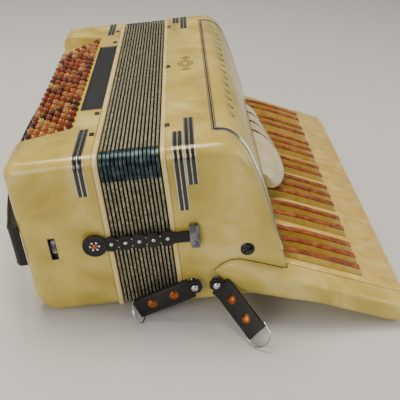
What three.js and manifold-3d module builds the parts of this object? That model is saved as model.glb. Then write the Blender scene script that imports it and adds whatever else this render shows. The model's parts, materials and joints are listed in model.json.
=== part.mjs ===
// Piano accordion, closed, lying on its back: X runs along the bellows from the bass box
// to the keyboard, Y from the low-note end to the high-note end, Z up. Millimetres.
import * as THREE from "three";
import { mergeVertices } from "three/addons/utils/BufferGeometryUtils.js";
import Module from "manifold-3d";

// ---- driving dimensions ----
const BODY_DEPTH = 186; // back to front of the boxes
const BELLOWS_SPAN = 62; // bellows pressed shut
const FOLDS = 15;
const TREBLE_FRONT = 118; // X where the grille cover starts
const TREBLE_BACK = 150; // X where the treble box's back panel ends
const END_RADIUS = 14; // front edges at both ends
const BACK_RADIUS = 8;
const BASS_CORNER = 25; // outer back edge of the bass box
const WALL = 6;
const GAP = 0.3; // between pieces that touch

const KEY_PITCH = 20;
const WHITE_KEYS = 24;
const KEY_START = 8; // Y of the first white key's near side
const KEY_SLOPE = 23.6; // degrees, the key tops fall away from the grille
const KEY_ORIGIN = [179.4, 34.6]; // X and Z of the key tops at the grille
const KEY_LENGTH = 148.7;
const KEY_TAIL = 25; // hidden under the grille cover
const KEY_THICK = 12;
const SHARP_LENGTH = 97;
const SHARP_HEIGHT = 9.5;
const SHARP_WIDTH = 11;
const KEY_GAP = 0.6;
const KEY_ROOM = 5.5; // under the keys, for their travel
const BED_THICK = 10.5;
const BED_LIP = 3.3; // the bed's front edge past the keys
const BED_CORNER = 14;
const CHEEK = 20; // how far a cheek stands out past the box's end

const BUTTON_ROWS = 6;
const BUTTON_COLUMNS = 20;
const BUTTON_RADIUS = 4;
const BUTTON_SPACE = 8.2; // between neighbours in a row
const ROW_SPACE = 2.2; // between rows
const BUTTON_RISE = 6.5;
const BUTTON_PLAY = 0.45; // around a button in its slot
const ROW_SKEW = 2;
const BOARD_START = 33; // from the bellows to the board's upper edge
const BOARD_STEP = 5; // the board's upper edge below the front
const BOARD_SLOPE = 14; // degrees
const BOARD_MARGIN = 7.2; // upper edge to the first row
const BOARD_RIM = 7.76; // last row to the outer side
const BOARD_THICK = 9;

const STRAP_THICK = 3;
const STRAP_LOW = 66;
const STRAP_HIGH = 116;

// ---- sizes that follow ----
const rad = THREE.MathUtils.degToRad;
const BODY_LENGTH = WHITE_KEYS * KEY_PITCH + 2 * KEY_START;
const MIDDLE = BODY_LENGTH / 2;
const BED_TOP = -KEY_THICK - KEY_ROOM; // below the key tops
const BED_BOTTOM = BED_TOP - BED_THICK;
const FRONT = KEY_LENGTH + BED_LIP;
const BUTTON_PITCH = 2 * BUTTON_RADIUS + BUTTON_SPACE;
const ROW_PITCH = 2 * BUTTON_RADIUS + ROW_SPACE;
const BOARD_RUN = BOARD_MARGIN + (BUTTON_ROWS - 1) * ROW_PITCH + BOARD_RIM;
const BASS_WIDTH = BOARD_START + BOARD_RUN * Math.cos(rad(BOARD_SLOPE));

// ---- solids ----
const wasm = await Module();
wasm.setup();

function toSolid(geometry) {
  const bare = geometry.clone();
  bare.deleteAttribute("normal");
  bare.deleteAttribute("uv");
  const merged = mergeVertices(bare, 1e-4);
  return new wasm.Manifold(
    new wasm.Mesh({
      numProp: 3,
      vertProperties: new Float32Array(merged.attributes.position.array),
      triVerts: new Uint32Array(merged.index.array),
    }),
  );
}

function toGeometry(solid) {
  const mesh = solid.getMesh();
  const geometry = new THREE.BufferGeometry();
  const points = [];
  for (let i = 0; i < mesh.vertProperties.length; i += mesh.numProp) {
    points.push(mesh.vertProperties[i]);
    points.push(mesh.vertProperties[i + 1]);
    points.push(mesh.vertProperties[i + 2]);
  }
  geometry.setAttribute("position", new THREE.Float32BufferAttribute(points, 3));
  geometry.setIndex(Array.from(mesh.triVerts));
  const flat = geometry.toNonIndexed();
  flat.computeVertexNormals();
  return flat;
}

function extrude(points, depth) {
  const shape = new THREE.Shape(points.map((p) => new THREE.Vector2(p[0], p[1])));
  return new THREE.ExtrudeGeometry(shape, { depth, bevelEnabled: false, steps: 1 });
}

// A profile in X and Z, run along Y.
function alongY(points, y0, y1) {
  const g = extrude(points, y1 - y0);
  g.rotateX(Math.PI / 2);
  g.translate(0, y1, 0);
  return toSolid(g);
}

// A profile in Y and Z, run along X.
function alongX(points, x0, x1) {
  const g = extrude(points, x1 - x0);
  g.applyMatrix4(
    new THREE.Matrix4().makeBasis(
      new THREE.Vector3(0, 1, 0),
      new THREE.Vector3(0, 0, 1),
      new THREE.Vector3(1, 0, 0),
    ),
  );
  g.translate(x0, 0, 0);
  return toSolid(g);
}

// A profile in X and Y, run along Z.
function alongZ(points, z0, z1) {
  const g = extrude(points, z1 - z0);
  g.translate(0, 0, z0);
  return toSolid(g);
}

function block(x0, x1, y0, y1, z0, z1) {
  const g = new THREE.BoxGeometry(x1 - x0, y1 - y0, z1 - z0);
  g.translate((x0 + x1) / 2, (y0 + y1) / 2, (z0 + z1) / 2);
  return toSolid(g);
}

function ring(radius, sides, turn = 0.5) {
  const out = [];
  for (let i = 0; i < sides; i++) {
    const a = ((i + turn) / sides) * 2 * Math.PI;
    out.push([radius * Math.cos(a), radius * Math.sin(a)]);
  }
  return out;
}

function arc(cx, cy, radius, from, to, steps) {
  const out = [];
  for (let i = 0; i <= steps; i++) {
    const a = rad(from + ((to - from) * i) / steps);
    out.push([cx + radius * Math.cos(a), cy + radius * Math.sin(a)]);
  }
  return out;
}

function joinAll(solids) {
  return solids.reduce((a, b) => a.add(b));
}

function inKeyFrame(s, h) {
  const c = Math.cos(rad(KEY_SLOPE));
  const n = Math.sin(rad(KEY_SLOPE));
  return [KEY_ORIGIN[0] + s * c + h * n, KEY_ORIGIN[1] - s * n + h * c];
}

function paint(color, roughness, metalness = 0) {
  return new THREE.MeshStandardMaterial({ color, roughness, metalness });
}

const PEARL = () => paint(0xd9c98a, 0.25);
const IVORY = () => paint(0xe9e0c0, 0.3);
const AMBER = () => paint(0xb06a2c, 0.3);
const CLOTH = () => paint(0x8d8d86, 0.6, 0.3);
const LEATHER = () => paint(0x1d1a18, 0.6);
const CHROME = () => paint(0xd0d0d0, 0.15, 1);

const body = new THREE.Group();

function add(parent, name, solid, material) {
  const mesh = new THREE.Mesh(toGeometry(solid), material);
  mesh.name = name;
  parent.add(mesh);
  return mesh;
}

// ---- outlines shared by the boxes ----
// Section across the length (Y and Z), with the front edges rounded at both ends.
function endOutline(inset) {
  const low = inset;
  const high = BODY_LENGTH - inset;
  const front = BODY_DEPTH - inset;
  const r = END_RADIUS - inset;
  const b = Math.max(BACK_RADIUS - inset, 2);
  return [
    ...arc(low + b, low + b, b, 180, 270, 2),
    ...arc(high - b, low + b, b, 270, 360, 2),
    ...arc(high - r, front - r, r, 0, 90, 6),
    ...arc(low + r, front - r, r, 90, 180, 6),
  ];
}

// ---- bass box ----
const boardDrop = Math.tan(rad(BOARD_SLOPE));
const BOARD_EDGE = -BOARD_START;
const BOARD_Z = BODY_DEPTH - BOARD_STEP;

const bassOutline = [
  [-GAP, 0],
  ...arc(-BASS_WIDTH + BASS_CORNER, BASS_CORNER, BASS_CORNER, 270, 180, 5),
  [-BASS_WIDTH, BODY_DEPTH - 12],
  [-BASS_WIDTH + 3.5, BODY_DEPTH - 3.5],
  [-BASS_WIDTH + 12, BODY_DEPTH],
  [-GAP, BODY_DEPTH],
];
const bassHollow = [
  [2, WALL],
  ...arc(-BASS_WIDTH + BASS_CORNER, BASS_CORNER, BASS_CORNER - WALL, 270, 180, 3),
  [-BASS_WIDTH + WALL, BOARD_Z - boardDrop * (BASS_WIDTH - WALL - BOARD_START) - BOARD_THICK],
  [BOARD_EDGE - 3, BOARD_Z - BOARD_THICK],
  [BOARD_EDGE - 3, BODY_DEPTH - WALL],
  [2, BODY_DEPTH - WALL],
];
let bassCase = alongY(bassOutline, 0, BODY_LENGTH).intersect(
  alongX(endOutline(0), -BASS_WIDTH - 2, 0),
);
bassCase = bassCase.subtract(
  alongY(bassHollow, WALL, BODY_LENGTH - WALL).intersect(
    alongX(endOutline(WALL), -BASS_WIDTH, 2),
  ),
);
const rowT = (r) => BOARD_MARGIN + r * ROW_PITCH;
const reach = (BUTTON_COLUMNS - 1) * BUTTON_PITCH;
const firstButton = MIDDLE - reach / 2;
const rowY = (r) => firstButton + (2.5 - r) * ROW_SKEW;

// The sloping button board is let into the front, with slanted ends.
const boardRecess = alongY(
  [
    [BOARD_EDGE, BOARD_Z],
    [BOARD_EDGE, BODY_DEPTH + 20],
    [-BASS_WIDTH - 10, BODY_DEPTH + 20],
    [-BASS_WIDTH - 10, BOARD_Z - boardDrop * (BASS_WIDTH + 10 + BOARD_EDGE)],
  ],
  0,
  BODY_LENGTH,
).intersect(
  alongZ(
    [
      [BOARD_EDGE, firstButton - 13],
      [BOARD_EDGE, firstButton + reach + 13],
      [-BASS_WIDTH - 10, firstButton + reach + 43],
      [-BASS_WIDTH - 10, firstButton - 43],
    ],
    BOARD_Z - 60,
    BOARD_Z + 60,
  ),
);
bassCase = bassCase.subtract(boardRecess);

// Frame of the board: t runs down the slope from its upper edge, z out of the board.
const board = new THREE.Group();
board.position.set(BOARD_EDGE, 0, BOARD_Z);
board.rotation.y = -rad(BOARD_SLOPE);
board.updateMatrix();

function fromBoard(x0, x1, y0, y1, z0, z1) {
  const g = new THREE.BoxGeometry(x1 - x0, y1 - y0, z1 - z0);
  g.translate((x0 + x1) / 2, (y0 + y1) / 2, (z0 + z1) / 2);
  g.applyMatrix4(board.matrix);
  return toSolid(g);
}

for (let r = 0; r < BUTTON_ROWS; r++) {
  const half = BUTTON_RADIUS + BUTTON_PLAY;
  bassCase = bassCase.subtract(
    fromBoard(
      -rowT(r) - half,
      -rowT(r) + half,
      rowY(r) - half,
      rowY(r) + reach + half,
      -BOARD_THICK - 5,
      4,
    ),
  );
}
// Long sound opening beside the board, with cross bars.
const GRILLE_BARS = 10;
const GRILLE_PITCH = 24;
const GRILLE_HALF = (GRILLE_BARS * GRILLE_PITCH) / 2;
bassCase = bassCase.subtract(
  block(
    2 - BOARD_START,
    -4,
    MIDDLE - GRILLE_HALF,
    MIDDLE + GRILLE_HALF,
    BODY_DEPTH - 1.5,
    BODY_DEPTH + 2,
  ),
);
for (let i = 0; i < GRILLE_BARS; i++) {
  const y = MIDDLE - GRILLE_HALF + (i + 0.5) * GRILLE_PITCH;
  bassCase = bassCase.subtract(
    block(5 - BOARD_START, -8, y - 9, y + 9, BODY_DEPTH - WALL - 6, BODY_DEPTH + 2),
  );
}
// Slot for the strap wheel and the lugs that carry its axle.
const WHEEL_RADIUS = 13;
const WHEEL_WIDTH = 5;
const WHEEL_X = -63;
const WHEEL_Y = WHEEL_RADIUS + 1.5;
const WHEEL_Z = 86;
const AXLE = 2;
function cylinderX(x0, x1, y, z, radius, sides) {
  return alongX(
    ring(radius, sides).map((p) => [p[0] + y, p[1] + z]),
    x0,
    x1,
  );
}
const slotHalf = WHEEL_WIDTH / 2 + 1;
bassCase = bassCase.subtract(
  block(
    WHEEL_X - slotHalf,
    WHEEL_X + slotHalf,
    -1,
    WALL + 1,
    WHEEL_Z - WHEEL_RADIUS,
    WHEEL_Z + WHEEL_RADIUS,
  ),
);
for (const x of [WHEEL_X - slotHalf - 4.5, WHEEL_X + slotHalf + 1.5]) {
  bassCase = bassCase.add(
    block(x, x + 3, WALL - 2, WHEEL_Y + 5.5, WHEEL_Z - 6, WHEEL_Z + 6).subtract(
      cylinderX(x - 1, x + 4, WHEEL_Y, WHEEL_Z, AXLE + 0.5, 8),
    ),
  );
}
// Notches where the hand strap leaves the outer side at both ends.
for (const end of [0, 1]) {
  const y0 = end ? BODY_LENGTH - 16 : -1;
  const y1 = end ? BODY_LENGTH + 1 : 16;
  bassCase = bassCase.subtract(
    block(-BASS_WIDTH - 2, -BASS_WIDTH + 2.5, y0, y1, STRAP_LOW - 3, STRAP_HIGH + 3),
  );
}
// Press studs for the two closing straps.
const STUD_X = -18;
const STRAP_Z = 88;
function studAt(end, radius, y0, y1, sides) {
  const flip = end ? -1 : 1;
  const base = end ? BODY_LENGTH : 0;
  const near = base + flip * y0;
  const far = base + flip * y1;
  return alongY(
    ring(radius, sides).map((p) => [p[0] + STUD_X, p[1] + STRAP_Z]),
    Math.min(near, far),
    Math.max(near, far),
  );
}
for (const end of [0, 1]) {
  bassCase = bassCase.add(studAt(end, 5, -2, 1, 8));
}
add(body, "bass_case", bassCase, PEARL());

// ---- bass buttons, on two hidden carriers ----
const BANK_Z = -BOARD_THICK - 7.5;
body.add(board);
function buttonBank(name, rows, material) {
  const parts = [];
  for (const r of rows) {
    const x = -rowT(r);
    const bar = new THREE.BoxGeometry(4, reach + 4, 2.5);
    bar.translate(x, rowY(r) + reach / 2, BANK_Z);
    parts.push(toSolid(bar));
    for (let c = 0; c < BUTTON_COLUMNS; c++) {
      const outline = ring(BUTTON_RADIUS, 8).map((p) => [
        p[0] + x,
        p[1] + rowY(r) + c * BUTTON_PITCH,
      ]);
      parts.push(alongZ(outline, BANK_Z - 0.5, BUTTON_RISE));
    }
  }
  const first = -rowT(rows[0]);
  const last = -rowT(rows[rows.length - 1]);
  for (const y of [40, reach / 2, reach - 40]) {
    const tie = new THREE.BoxGeometry(first - last, 5, 2.5);
    tie.translate((first + last) / 2, firstButton + y, BANK_Z);
    parts.push(toSolid(tie));
  }
  add(board, name, joinAll(parts), material);
}
buttonBank("bass_note_buttons", [0, 1], AMBER());
buttonBank("chord_buttons", [2, 3, 4, 5], AMBER());

// ---- strap wheel ----
add(
  body,
  "strap_wheel",
  cylinderX(
    WHEEL_X - WHEEL_WIDTH / 2,
    WHEEL_X + WHEEL_WIDTH / 2,
    WHEEL_Y,
    WHEEL_Z,
    WHEEL_RADIUS,
    16,
  ).add(
    cylinderX(
      WHEEL_X - slotHalf - 5.5,
      WHEEL_X + slotHalf + 5.5,
      WHEEL_Y,
      WHEEL_Z,
      AXLE,
      8,
    ),
  ),
  CHROME(),
);

// ---- hand strap: a band that stands off the bass box's outer side ----
function bandOutline(path, thick) {
  const left = [];
  const right = [];
  for (let i = 0; i < path.length; i++) {
    const a = path[Math.max(i - 1, 0)];
    const b = path[Math.min(i + 1, path.length - 1)];
    const dx = b[0] - a[0];
    const dy = b[1] - a[1];
    const d = Math.hypot(dx, dy);
    left.push([path[i][0] - (dy / d) * thick * 0.5, path[i][1] + (dx / d) * thick * 0.5]);
    right.push([path[i][0] + (dy / d) * thick * 0.5, path[i][1] - (dx / d) * thick * 0.5]);
  }
  return [...left, ...right.reverse()];
}
const halfStrap = [
  [2, 5.5],
  [-4, 4.5],
  [-8.5, 8],
  [-11, 20],
  [-20, 62],
  [-30, 120],
  [-36, 180],
].map((p) => [p[0] - BASS_WIDTH, p[1]]);
const strapPath = [
  ...halfStrap,
  [-38 - BASS_WIDTH, MIDDLE],
  ...halfStrap.map((p) => [p[0], BODY_LENGTH - p[1]]).reverse(),
];
add(
  body,
  "hand_strap",
  alongZ(bandOutline(strapPath, STRAP_THICK), STRAP_LOW, STRAP_HIGH),
  LEATHER(),
);

// ---- bellows: a folded tube between the two boxes ----
function bellowsRing(inset) {
  const out = [];
  const pad = 1.2;
  const lo = pad + inset;
  const hi = BODY_LENGTH - pad - inset;
  const front = BODY_DEPTH - pad - inset;
  const r = Math.max(END_RADIUS - pad - inset, 4);
  const b = 6;
  out.push(...arc(lo + b, lo + b, b, 180, 270, 1));
  out.push(...arc(hi - b, lo + b, b, 270, 360, 1));
  out.push(...arc(hi - r, front - r, r, 0, 90, 4));
  out.push(...arc(lo + r, front - r, r, 90, 180, 4));
  return out;
}

// A closed mesh through rings of equal count, joined side by side; the last ring may
// close onto the first.
function loft(rings, closed) {
  const n = rings[0].length;
  const points = rings.flat();
  const index = [];
  const last = closed ? rings.length : rings.length - 1;
  for (let k = 0; k < last; k++) {
    const a = k * n;
    const b = ((k + 1) % rings.length) * n;
    for (let i = 0; i < n; i++) {
      const j = (i + 1) % n;
      index.push(a + i, b + i, b + j);
      index.push(a + i, b + j, a + j);
    }
  }
  if (!closed) {
    for (let i = 1; i < n - 1; i++) {
      index.push(0, i, i + 1);
      const e = (rings.length - 1) * n;
      index.push(e, e + i + 1, e + i);
    }
  }
  const g = new THREE.BufferGeometry();
  g.setAttribute("position", new THREE.Float32BufferAttribute(points.flat(), 3));
  g.setIndex(index);
  const made = toSolid(g);
  if (made.volume() >= 0) return made;
  const turned = [];
  for (let i = 0; i < index.length; i += 3) {
    turned.push(index[i], index[i + 2], index[i + 1]);
  }
  g.setIndex(turned);
  return toSolid(g);
}

const bellowsRings = [];
const foldPitch = (BELLOWS_SPAN - 2 * GAP) / FOLDS;
for (let f = 0; f < FOLDS; f++) {
  const x = GAP + f * foldPitch;
  bellowsRings.push(bellowsRing(5).map((p) => [x, ...p]));
  bellowsRings.push(bellowsRing(0).map((p) => [x + foldPitch / 2, ...p]));
}
const bellowsEnd = BELLOWS_SPAN - GAP;
bellowsRings.push(bellowsRing(5).map((p) => [bellowsEnd, ...p]));
bellowsRings.push(bellowsRing(20).map((p) => [bellowsEnd, ...p]));
bellowsRings.push(bellowsRing(20).map((p) => [GAP, ...p]));
add(body, "bellows", loft(bellowsRings, true), CLOTH());

// ---- treble box ----
const COVER_THICK = 3;
const COVER_FOOT = [KEY_ORIGIN[0] + 0.6, KEY_ORIGIN[1] + 12.4];
// Shoulder of the cover, as shares of its width and height.
const coverCurve = [
  [0, 1],
  [0.202, 0.9856],
  [0.355, 0.9388],
  [0.5, 0.8561],
  [0.629, 0.7122],
  [0.758, 0.4964],
  [0.887, 0.2338],
  [1, 0],
].map((p) => [
  TREBLE_FRONT + p[0] * (COVER_FOOT[0] - TREBLE_FRONT),
  COVER_FOOT[1] + p[1] * (BODY_DEPTH - COVER_FOOT[1]),
]);
function inward(path, depth) {
  return path.map((p, i) => {
    const a = path[Math.max(i - 1, 0)];
    const b = path[Math.min(i + 1, path.length - 1)];
    const d = Math.hypot(b[0] - a[0], b[1] - a[1]);
    return [p[0] + ((b[1] - a[1]) / d) * depth, p[1] - ((b[0] - a[0]) / d) * depth];
  });
}
const coverOuter = [[TREBLE_FRONT + GAP, BODY_DEPTH], ...coverCurve.slice(1)];
const coverInner = [
  [TREBLE_FRONT + GAP, BODY_DEPTH - COVER_THICK],
  ...inward(coverCurve, COVER_THICK).slice(1),
].reverse();
const bedLine = inKeyFrame(0, BED_TOP + GAP);
const bedFall = Math.tan(rad(KEY_SLOPE));
const bedZ = (x) => bedLine[1] - (x - bedLine[0]) * bedFall;
const trebleOutline = [
  [BELLOWS_SPAN + GAP, 0],
  [TREBLE_BACK, 0],
  [TREBLE_BACK, bedZ(TREBLE_BACK)],
  [KEY_ORIGIN[0] + 2.6, bedZ(KEY_ORIGIN[0] + 2.6)],
  [KEY_ORIGIN[0] + 3, KEY_ORIGIN[1] - 0.6],
  ...coverCurve.slice().reverse(),
  [BELLOWS_SPAN + GAP, BODY_DEPTH],
];
const END_BOARD = KEY_START - GAP;
const SHOULDER = 41; // Y where the cover starts on the front
const DECK = 101;
let trebleCase = alongY(trebleOutline, 0, BODY_LENGTH).intersect(
  alongX(endOutline(0), BELLOWS_SPAN, 200),
);
trebleCase = trebleCase.subtract(
  alongY(
    [
      [BELLOWS_SPAN - 2, WALL],
      [TREBLE_BACK - WALL, WALL],
      [TREBLE_BACK - WALL, DECK - WALL],
      [TREBLE_FRONT - WALL, DECK - WALL],
      [TREBLE_FRONT - WALL, BODY_DEPTH - WALL],
      [BELLOWS_SPAN - 2, BODY_DEPTH - WALL],
    ],
    WALL,
    BODY_LENGTH - WALL,
  ).intersect(alongX(endOutline(WALL), BELLOWS_SPAN - 4, 200)),
);
// Room under the grille cover: its ends slope back from the keys to the front.
function coverRoom(slack) {
  return [
    [END_BOARD + slack, -60],
    [END_BOARD + slack, 60],
    [SHOULDER + slack, BODY_DEPTH],
    [SHOULDER + slack, BODY_DEPTH + 20],
    [BODY_LENGTH - SHOULDER - slack, BODY_DEPTH + 20],
    [BODY_LENGTH - SHOULDER - slack, BODY_DEPTH],
    [BODY_LENGTH - END_BOARD - slack, 60],
    [BODY_LENGTH - END_BOARD - slack, -60],
  ];
}
trebleCase = trebleCase
  .subtract(
    alongX(coverRoom(0), TREBLE_FRONT, 210).intersect(
      block(100, 220, 0, BODY_LENGTH, DECK, BODY_DEPTH + 40),
    ),
  )
  .subtract(alongX(coverRoom(0), TREBLE_BACK, 210));
// Sound holes in the deck, under the pallets.
for (let i = 0; i < 10; i++) {
  const y = MIDDLE + (i - 4.5) * 42;
  const x = TREBLE_FRONT + 6;
  trebleCase = trebleCase.subtract(block(x, x + 16, y - 14, y + 14, DECK - 20, DECK + 20));
}
// Strap studs low on the near end, each with a round head that keeps its tab on.
const TAB_STUD_Z = 26;
const TAB_STUD_X = [80.5, 104.5];
function cylinderY(x, z, radius, y0, y1, sides) {
  return alongY(
    ring(radius, sides).map((p) => [p[0] + x, p[1] + z]),
    y0,
    y1,
  );
}
for (const x of TAB_STUD_X) {
  trebleCase = trebleCase.add(cylinderY(x, TAB_STUD_Z, 2.5, -12.5, 1, 8));
  trebleCase = trebleCase.add(cylinderY(x, TAB_STUD_Z, 4.2, -14.5, -11.8, 8));
}
// Clasp plates that hold the fixed ends of the two closing straps.
const CLASP_X = 87;
for (const end of [0, 1]) {
  const y0 = end ? BODY_LENGTH - 1 : -6.6;
  const y1 = end ? BODY_LENGTH + 6.6 : 1;
  trebleCase = trebleCase.add(
    block(CLASP_X - 5, CLASP_X + 5, y0, y1, STRAP_Z - 14, STRAP_Z + 14),
  );
}
add(body, "treble_case", trebleCase, PEARL());

// ---- grille cover: a curved plate with slanted sound slots over its shoulder ----
const SLOTS = 14;
let cover = alongY([...coverOuter, ...coverInner], 0, BODY_LENGTH).intersect(
  alongX(coverRoom(GAP), 110, 210),
);
for (let i = 0; i < SLOTS; i++) {
  const y = 94 + (i * (BODY_LENGTH - 188)) / (SLOTS - 1);
  const slot = new THREE.BoxGeometry(17, 4, 30);
  slot.rotateZ(rad(-20));
  slot.rotateY(rad(38));
  slot.translate(TREBLE_FRONT + 23, y, BODY_DEPTH - 12);
  cover = cover.subtract(toSolid(slot));
}
add(body, "grille_cover", cover, PEARL());

// ---- closing straps, near end and far end ----
function closingStrap(name, end) {
  const disc = studAt(end, 13, -2.3, -6, 12);
  const y0 = end ? BODY_LENGTH + 2.3 : -5;
  const y1 = end ? BODY_LENGTH + 5 : -2.3;
  const band = block(STUD_X + 4, CLASP_X - 5 - GAP, y0, y1, STRAP_Z - 8.5, STRAP_Z + 8.5);
  add(body, name, disc.add(band), LEATHER());
}
closingStrap("closing_strap_near", 0);
closingStrap("closing_strap_far", 1);

// ---- shoulder strap tabs, one on each stud, each with its ring ----
const TAB_WIDTH = 24;
const TAB_LENGTH = 70;
const RING_HALF = 14.4;
const WIRE = 1.6;
// In a tab's frame X runs down the leather, Y out of the box's end, Z across the leather.
function strapTab(side, x, turn, bend, fold) {
  const tab = new THREE.Group();
  tab.position.set(x, 0, TAB_STUD_Z);
  tab.rotation.y = turn;
  const root = alongY(ring(8.5, 8), -11.3, -7.3);
  const c = Math.cos(bend);
  const n = Math.sin(bend);
  const from = 11;
  // The leather leaves the stud flat, then bends away from the box.
  const along = (d, t) => [from + d * c - t * n, -9.3 - d * n - t * c];
  const far = TAB_LENGTH - from;
  const strip = alongZ(
    [
      [4, -11.3],
      [4, -7.3],
      [from + 2 * Math.tan(bend / 2), -7.3],
      along(far, -2),
      along(far, 2),
      [from - 2 * Math.tan(bend / 2), -11.3],
    ],
    -TAB_WIDTH / 2,
    TAB_WIDTH / 2,
  );
  const tunnel = alongZ(
    [along(far - 5.5, -1.2), along(far - 1.2, -1.2), along(far - 1.2, 1.2), along(far - 5.5, 1.2)],
    -20,
    20,
  );
  const leather = root.add(strip).subtract(tunnel).subtract(cylinderY(0, 0, 3, -20, 5, 8));
  add(tab, "strap_tab_" + side, leather, LEATHER());
  const wire = new THREE.Group();
  const leg = along(far - 3.35, 0);
  wire.position.set(leg[0], leg[1], 0);
  wire.rotation.z = -bend - fold;
  const h = WIRE / 2;
  const bow = [[-h, -RING_HALF], ...arc(6, 0, RING_HALF, -70, 70, 6), [-h, RING_HALF]];
  const r = RING_HALF - 1.8;
  const inner = [[h, -r], ...arc(6, 0, r, -66, 66, 6), [h, r]];
  add(wire, "d_ring_" + side, alongY(bow, -h, h).subtract(alongY(inner, -2, 2)), CHROME());
  tab.add(wire);
  body.add(tab);
}
strapTab("left", TAB_STUD_X[0], rad(161), 0, rad(80));
strapTab("right", TAB_STUD_X[1], rad(45), rad(44), 0);

// ---- keyboard ----
const keys = new THREE.Group();
keys.position.set(KEY_ORIGIN[0], 0, KEY_ORIGIN[1]);
keys.rotation.y = rad(KEY_SLOPE);
keys.updateMatrix();
body.add(keys);

const KEYS_END = KEY_START + WHITE_KEYS * KEY_PITCH;

function fromKeys(points, y0, y1) {
  const g = extrude(points, y1 - y0);
  g.rotateX(Math.PI / 2);
  g.translate(0, y1, 0);
  g.applyMatrix4(keys.matrix);
  return toSolid(g);
}
const bedStart = (h) => {
  const n = Math.sin(rad(KEY_SLOPE));
  return (TREBLE_BACK + GAP - KEY_ORIGIN[0] - h * n) / Math.cos(rad(KEY_SLOPE));
};
const asDegrees = THREE.MathUtils.radToDeg;
// The bed's rounded front edge, from the given angle down to its underside.
function bedCorner(from) {
  return arc(FRONT - BED_CORNER, BED_BOTTOM + BED_CORNER, BED_CORNER, from, -90, 4);
}
const RIDGE = -20; // s of the ridge that the keys tilt on
let bed = fromKeys(
  [
    [bedStart(BED_TOP), BED_TOP],
    ...bedCorner(-asDegrees(Math.asin((BED_THICK - BED_CORNER) / -BED_CORNER))),
    [bedStart(BED_BOTTOM), BED_BOTTOM],
  ],
  0,
  BODY_LENGTH,
);
bed = bed.add(
  fromKeys(
    [
      [RIDGE - 2.5, BED_TOP - 1],
      [RIDGE + 2.5, BED_TOP - 1],
      [RIDGE + 1.5, -KEY_THICK - 0.4],
      [RIDGE - 1.5, -KEY_THICK - 0.4],
    ],
    KEY_START,
    KEYS_END,
  ),
);
const fromOrigin = (x, z) => [KEY_ORIGIN[0] + x, KEY_ORIGIN[1] + z];
const cheekOutline = [
  fromOrigin(-74.4, 5.4),
  fromOrigin(-67.4, 11.4),
  fromOrigin(-56.9, 15.9),
  fromOrigin(-46.4, 15.4),
  fromOrigin(-3.4, -1.1),
  inKeyFrame(5, -1),
  inKeyFrame(FRONT - 4, -1),
  inKeyFrame(FRONT, -5),
  ...bedCorner(0).map((p) => inKeyFrame(p[0], p[1])),
  inKeyFrame(51, BED_BOTTOM),
  fromOrigin(10.6, BED_BOTTOM - 10.1),
  fromOrigin(-30.4, BED_BOTTOM - 2.6),
  fromOrigin(-39.4, -27.1),
  fromOrigin(-59.4, -17.6),
  fromOrigin(-70.4, -4.6),
];
for (const end of [0, 1]) {
  const at = (y) => (end ? BODY_LENGTH - y : y);
  const plan = [
    [KEY_ORIGIN[0] - 79.4, at(-GAP)],
    [KEY_ORIGIN[0] - 79.4, at(-2)],
    [KEY_ORIGIN[0] + 3.8, at(-CHEEK)],
    [KEY_ORIGIN[0] + 250, at(-CHEEK)],
    [KEY_ORIGIN[0] + 250, at(KEY_START - 0.4)],
    [KEY_ORIGIN[0] + 3.8, at(KEY_START - 0.4)],
    [KEY_ORIGIN[0] + 3.8, at(-GAP)],
  ];
  bed = bed.add(
    alongY(cheekOutline, at(-30) < at(30) ? at(-30) : at(30), at(-30) < at(30) ? at(30) : at(-30))
      .intersect(alongZ(plan, -200, 200)),
  );
}
add(body, "keyboard_bed", bed, PEARL());

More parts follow.
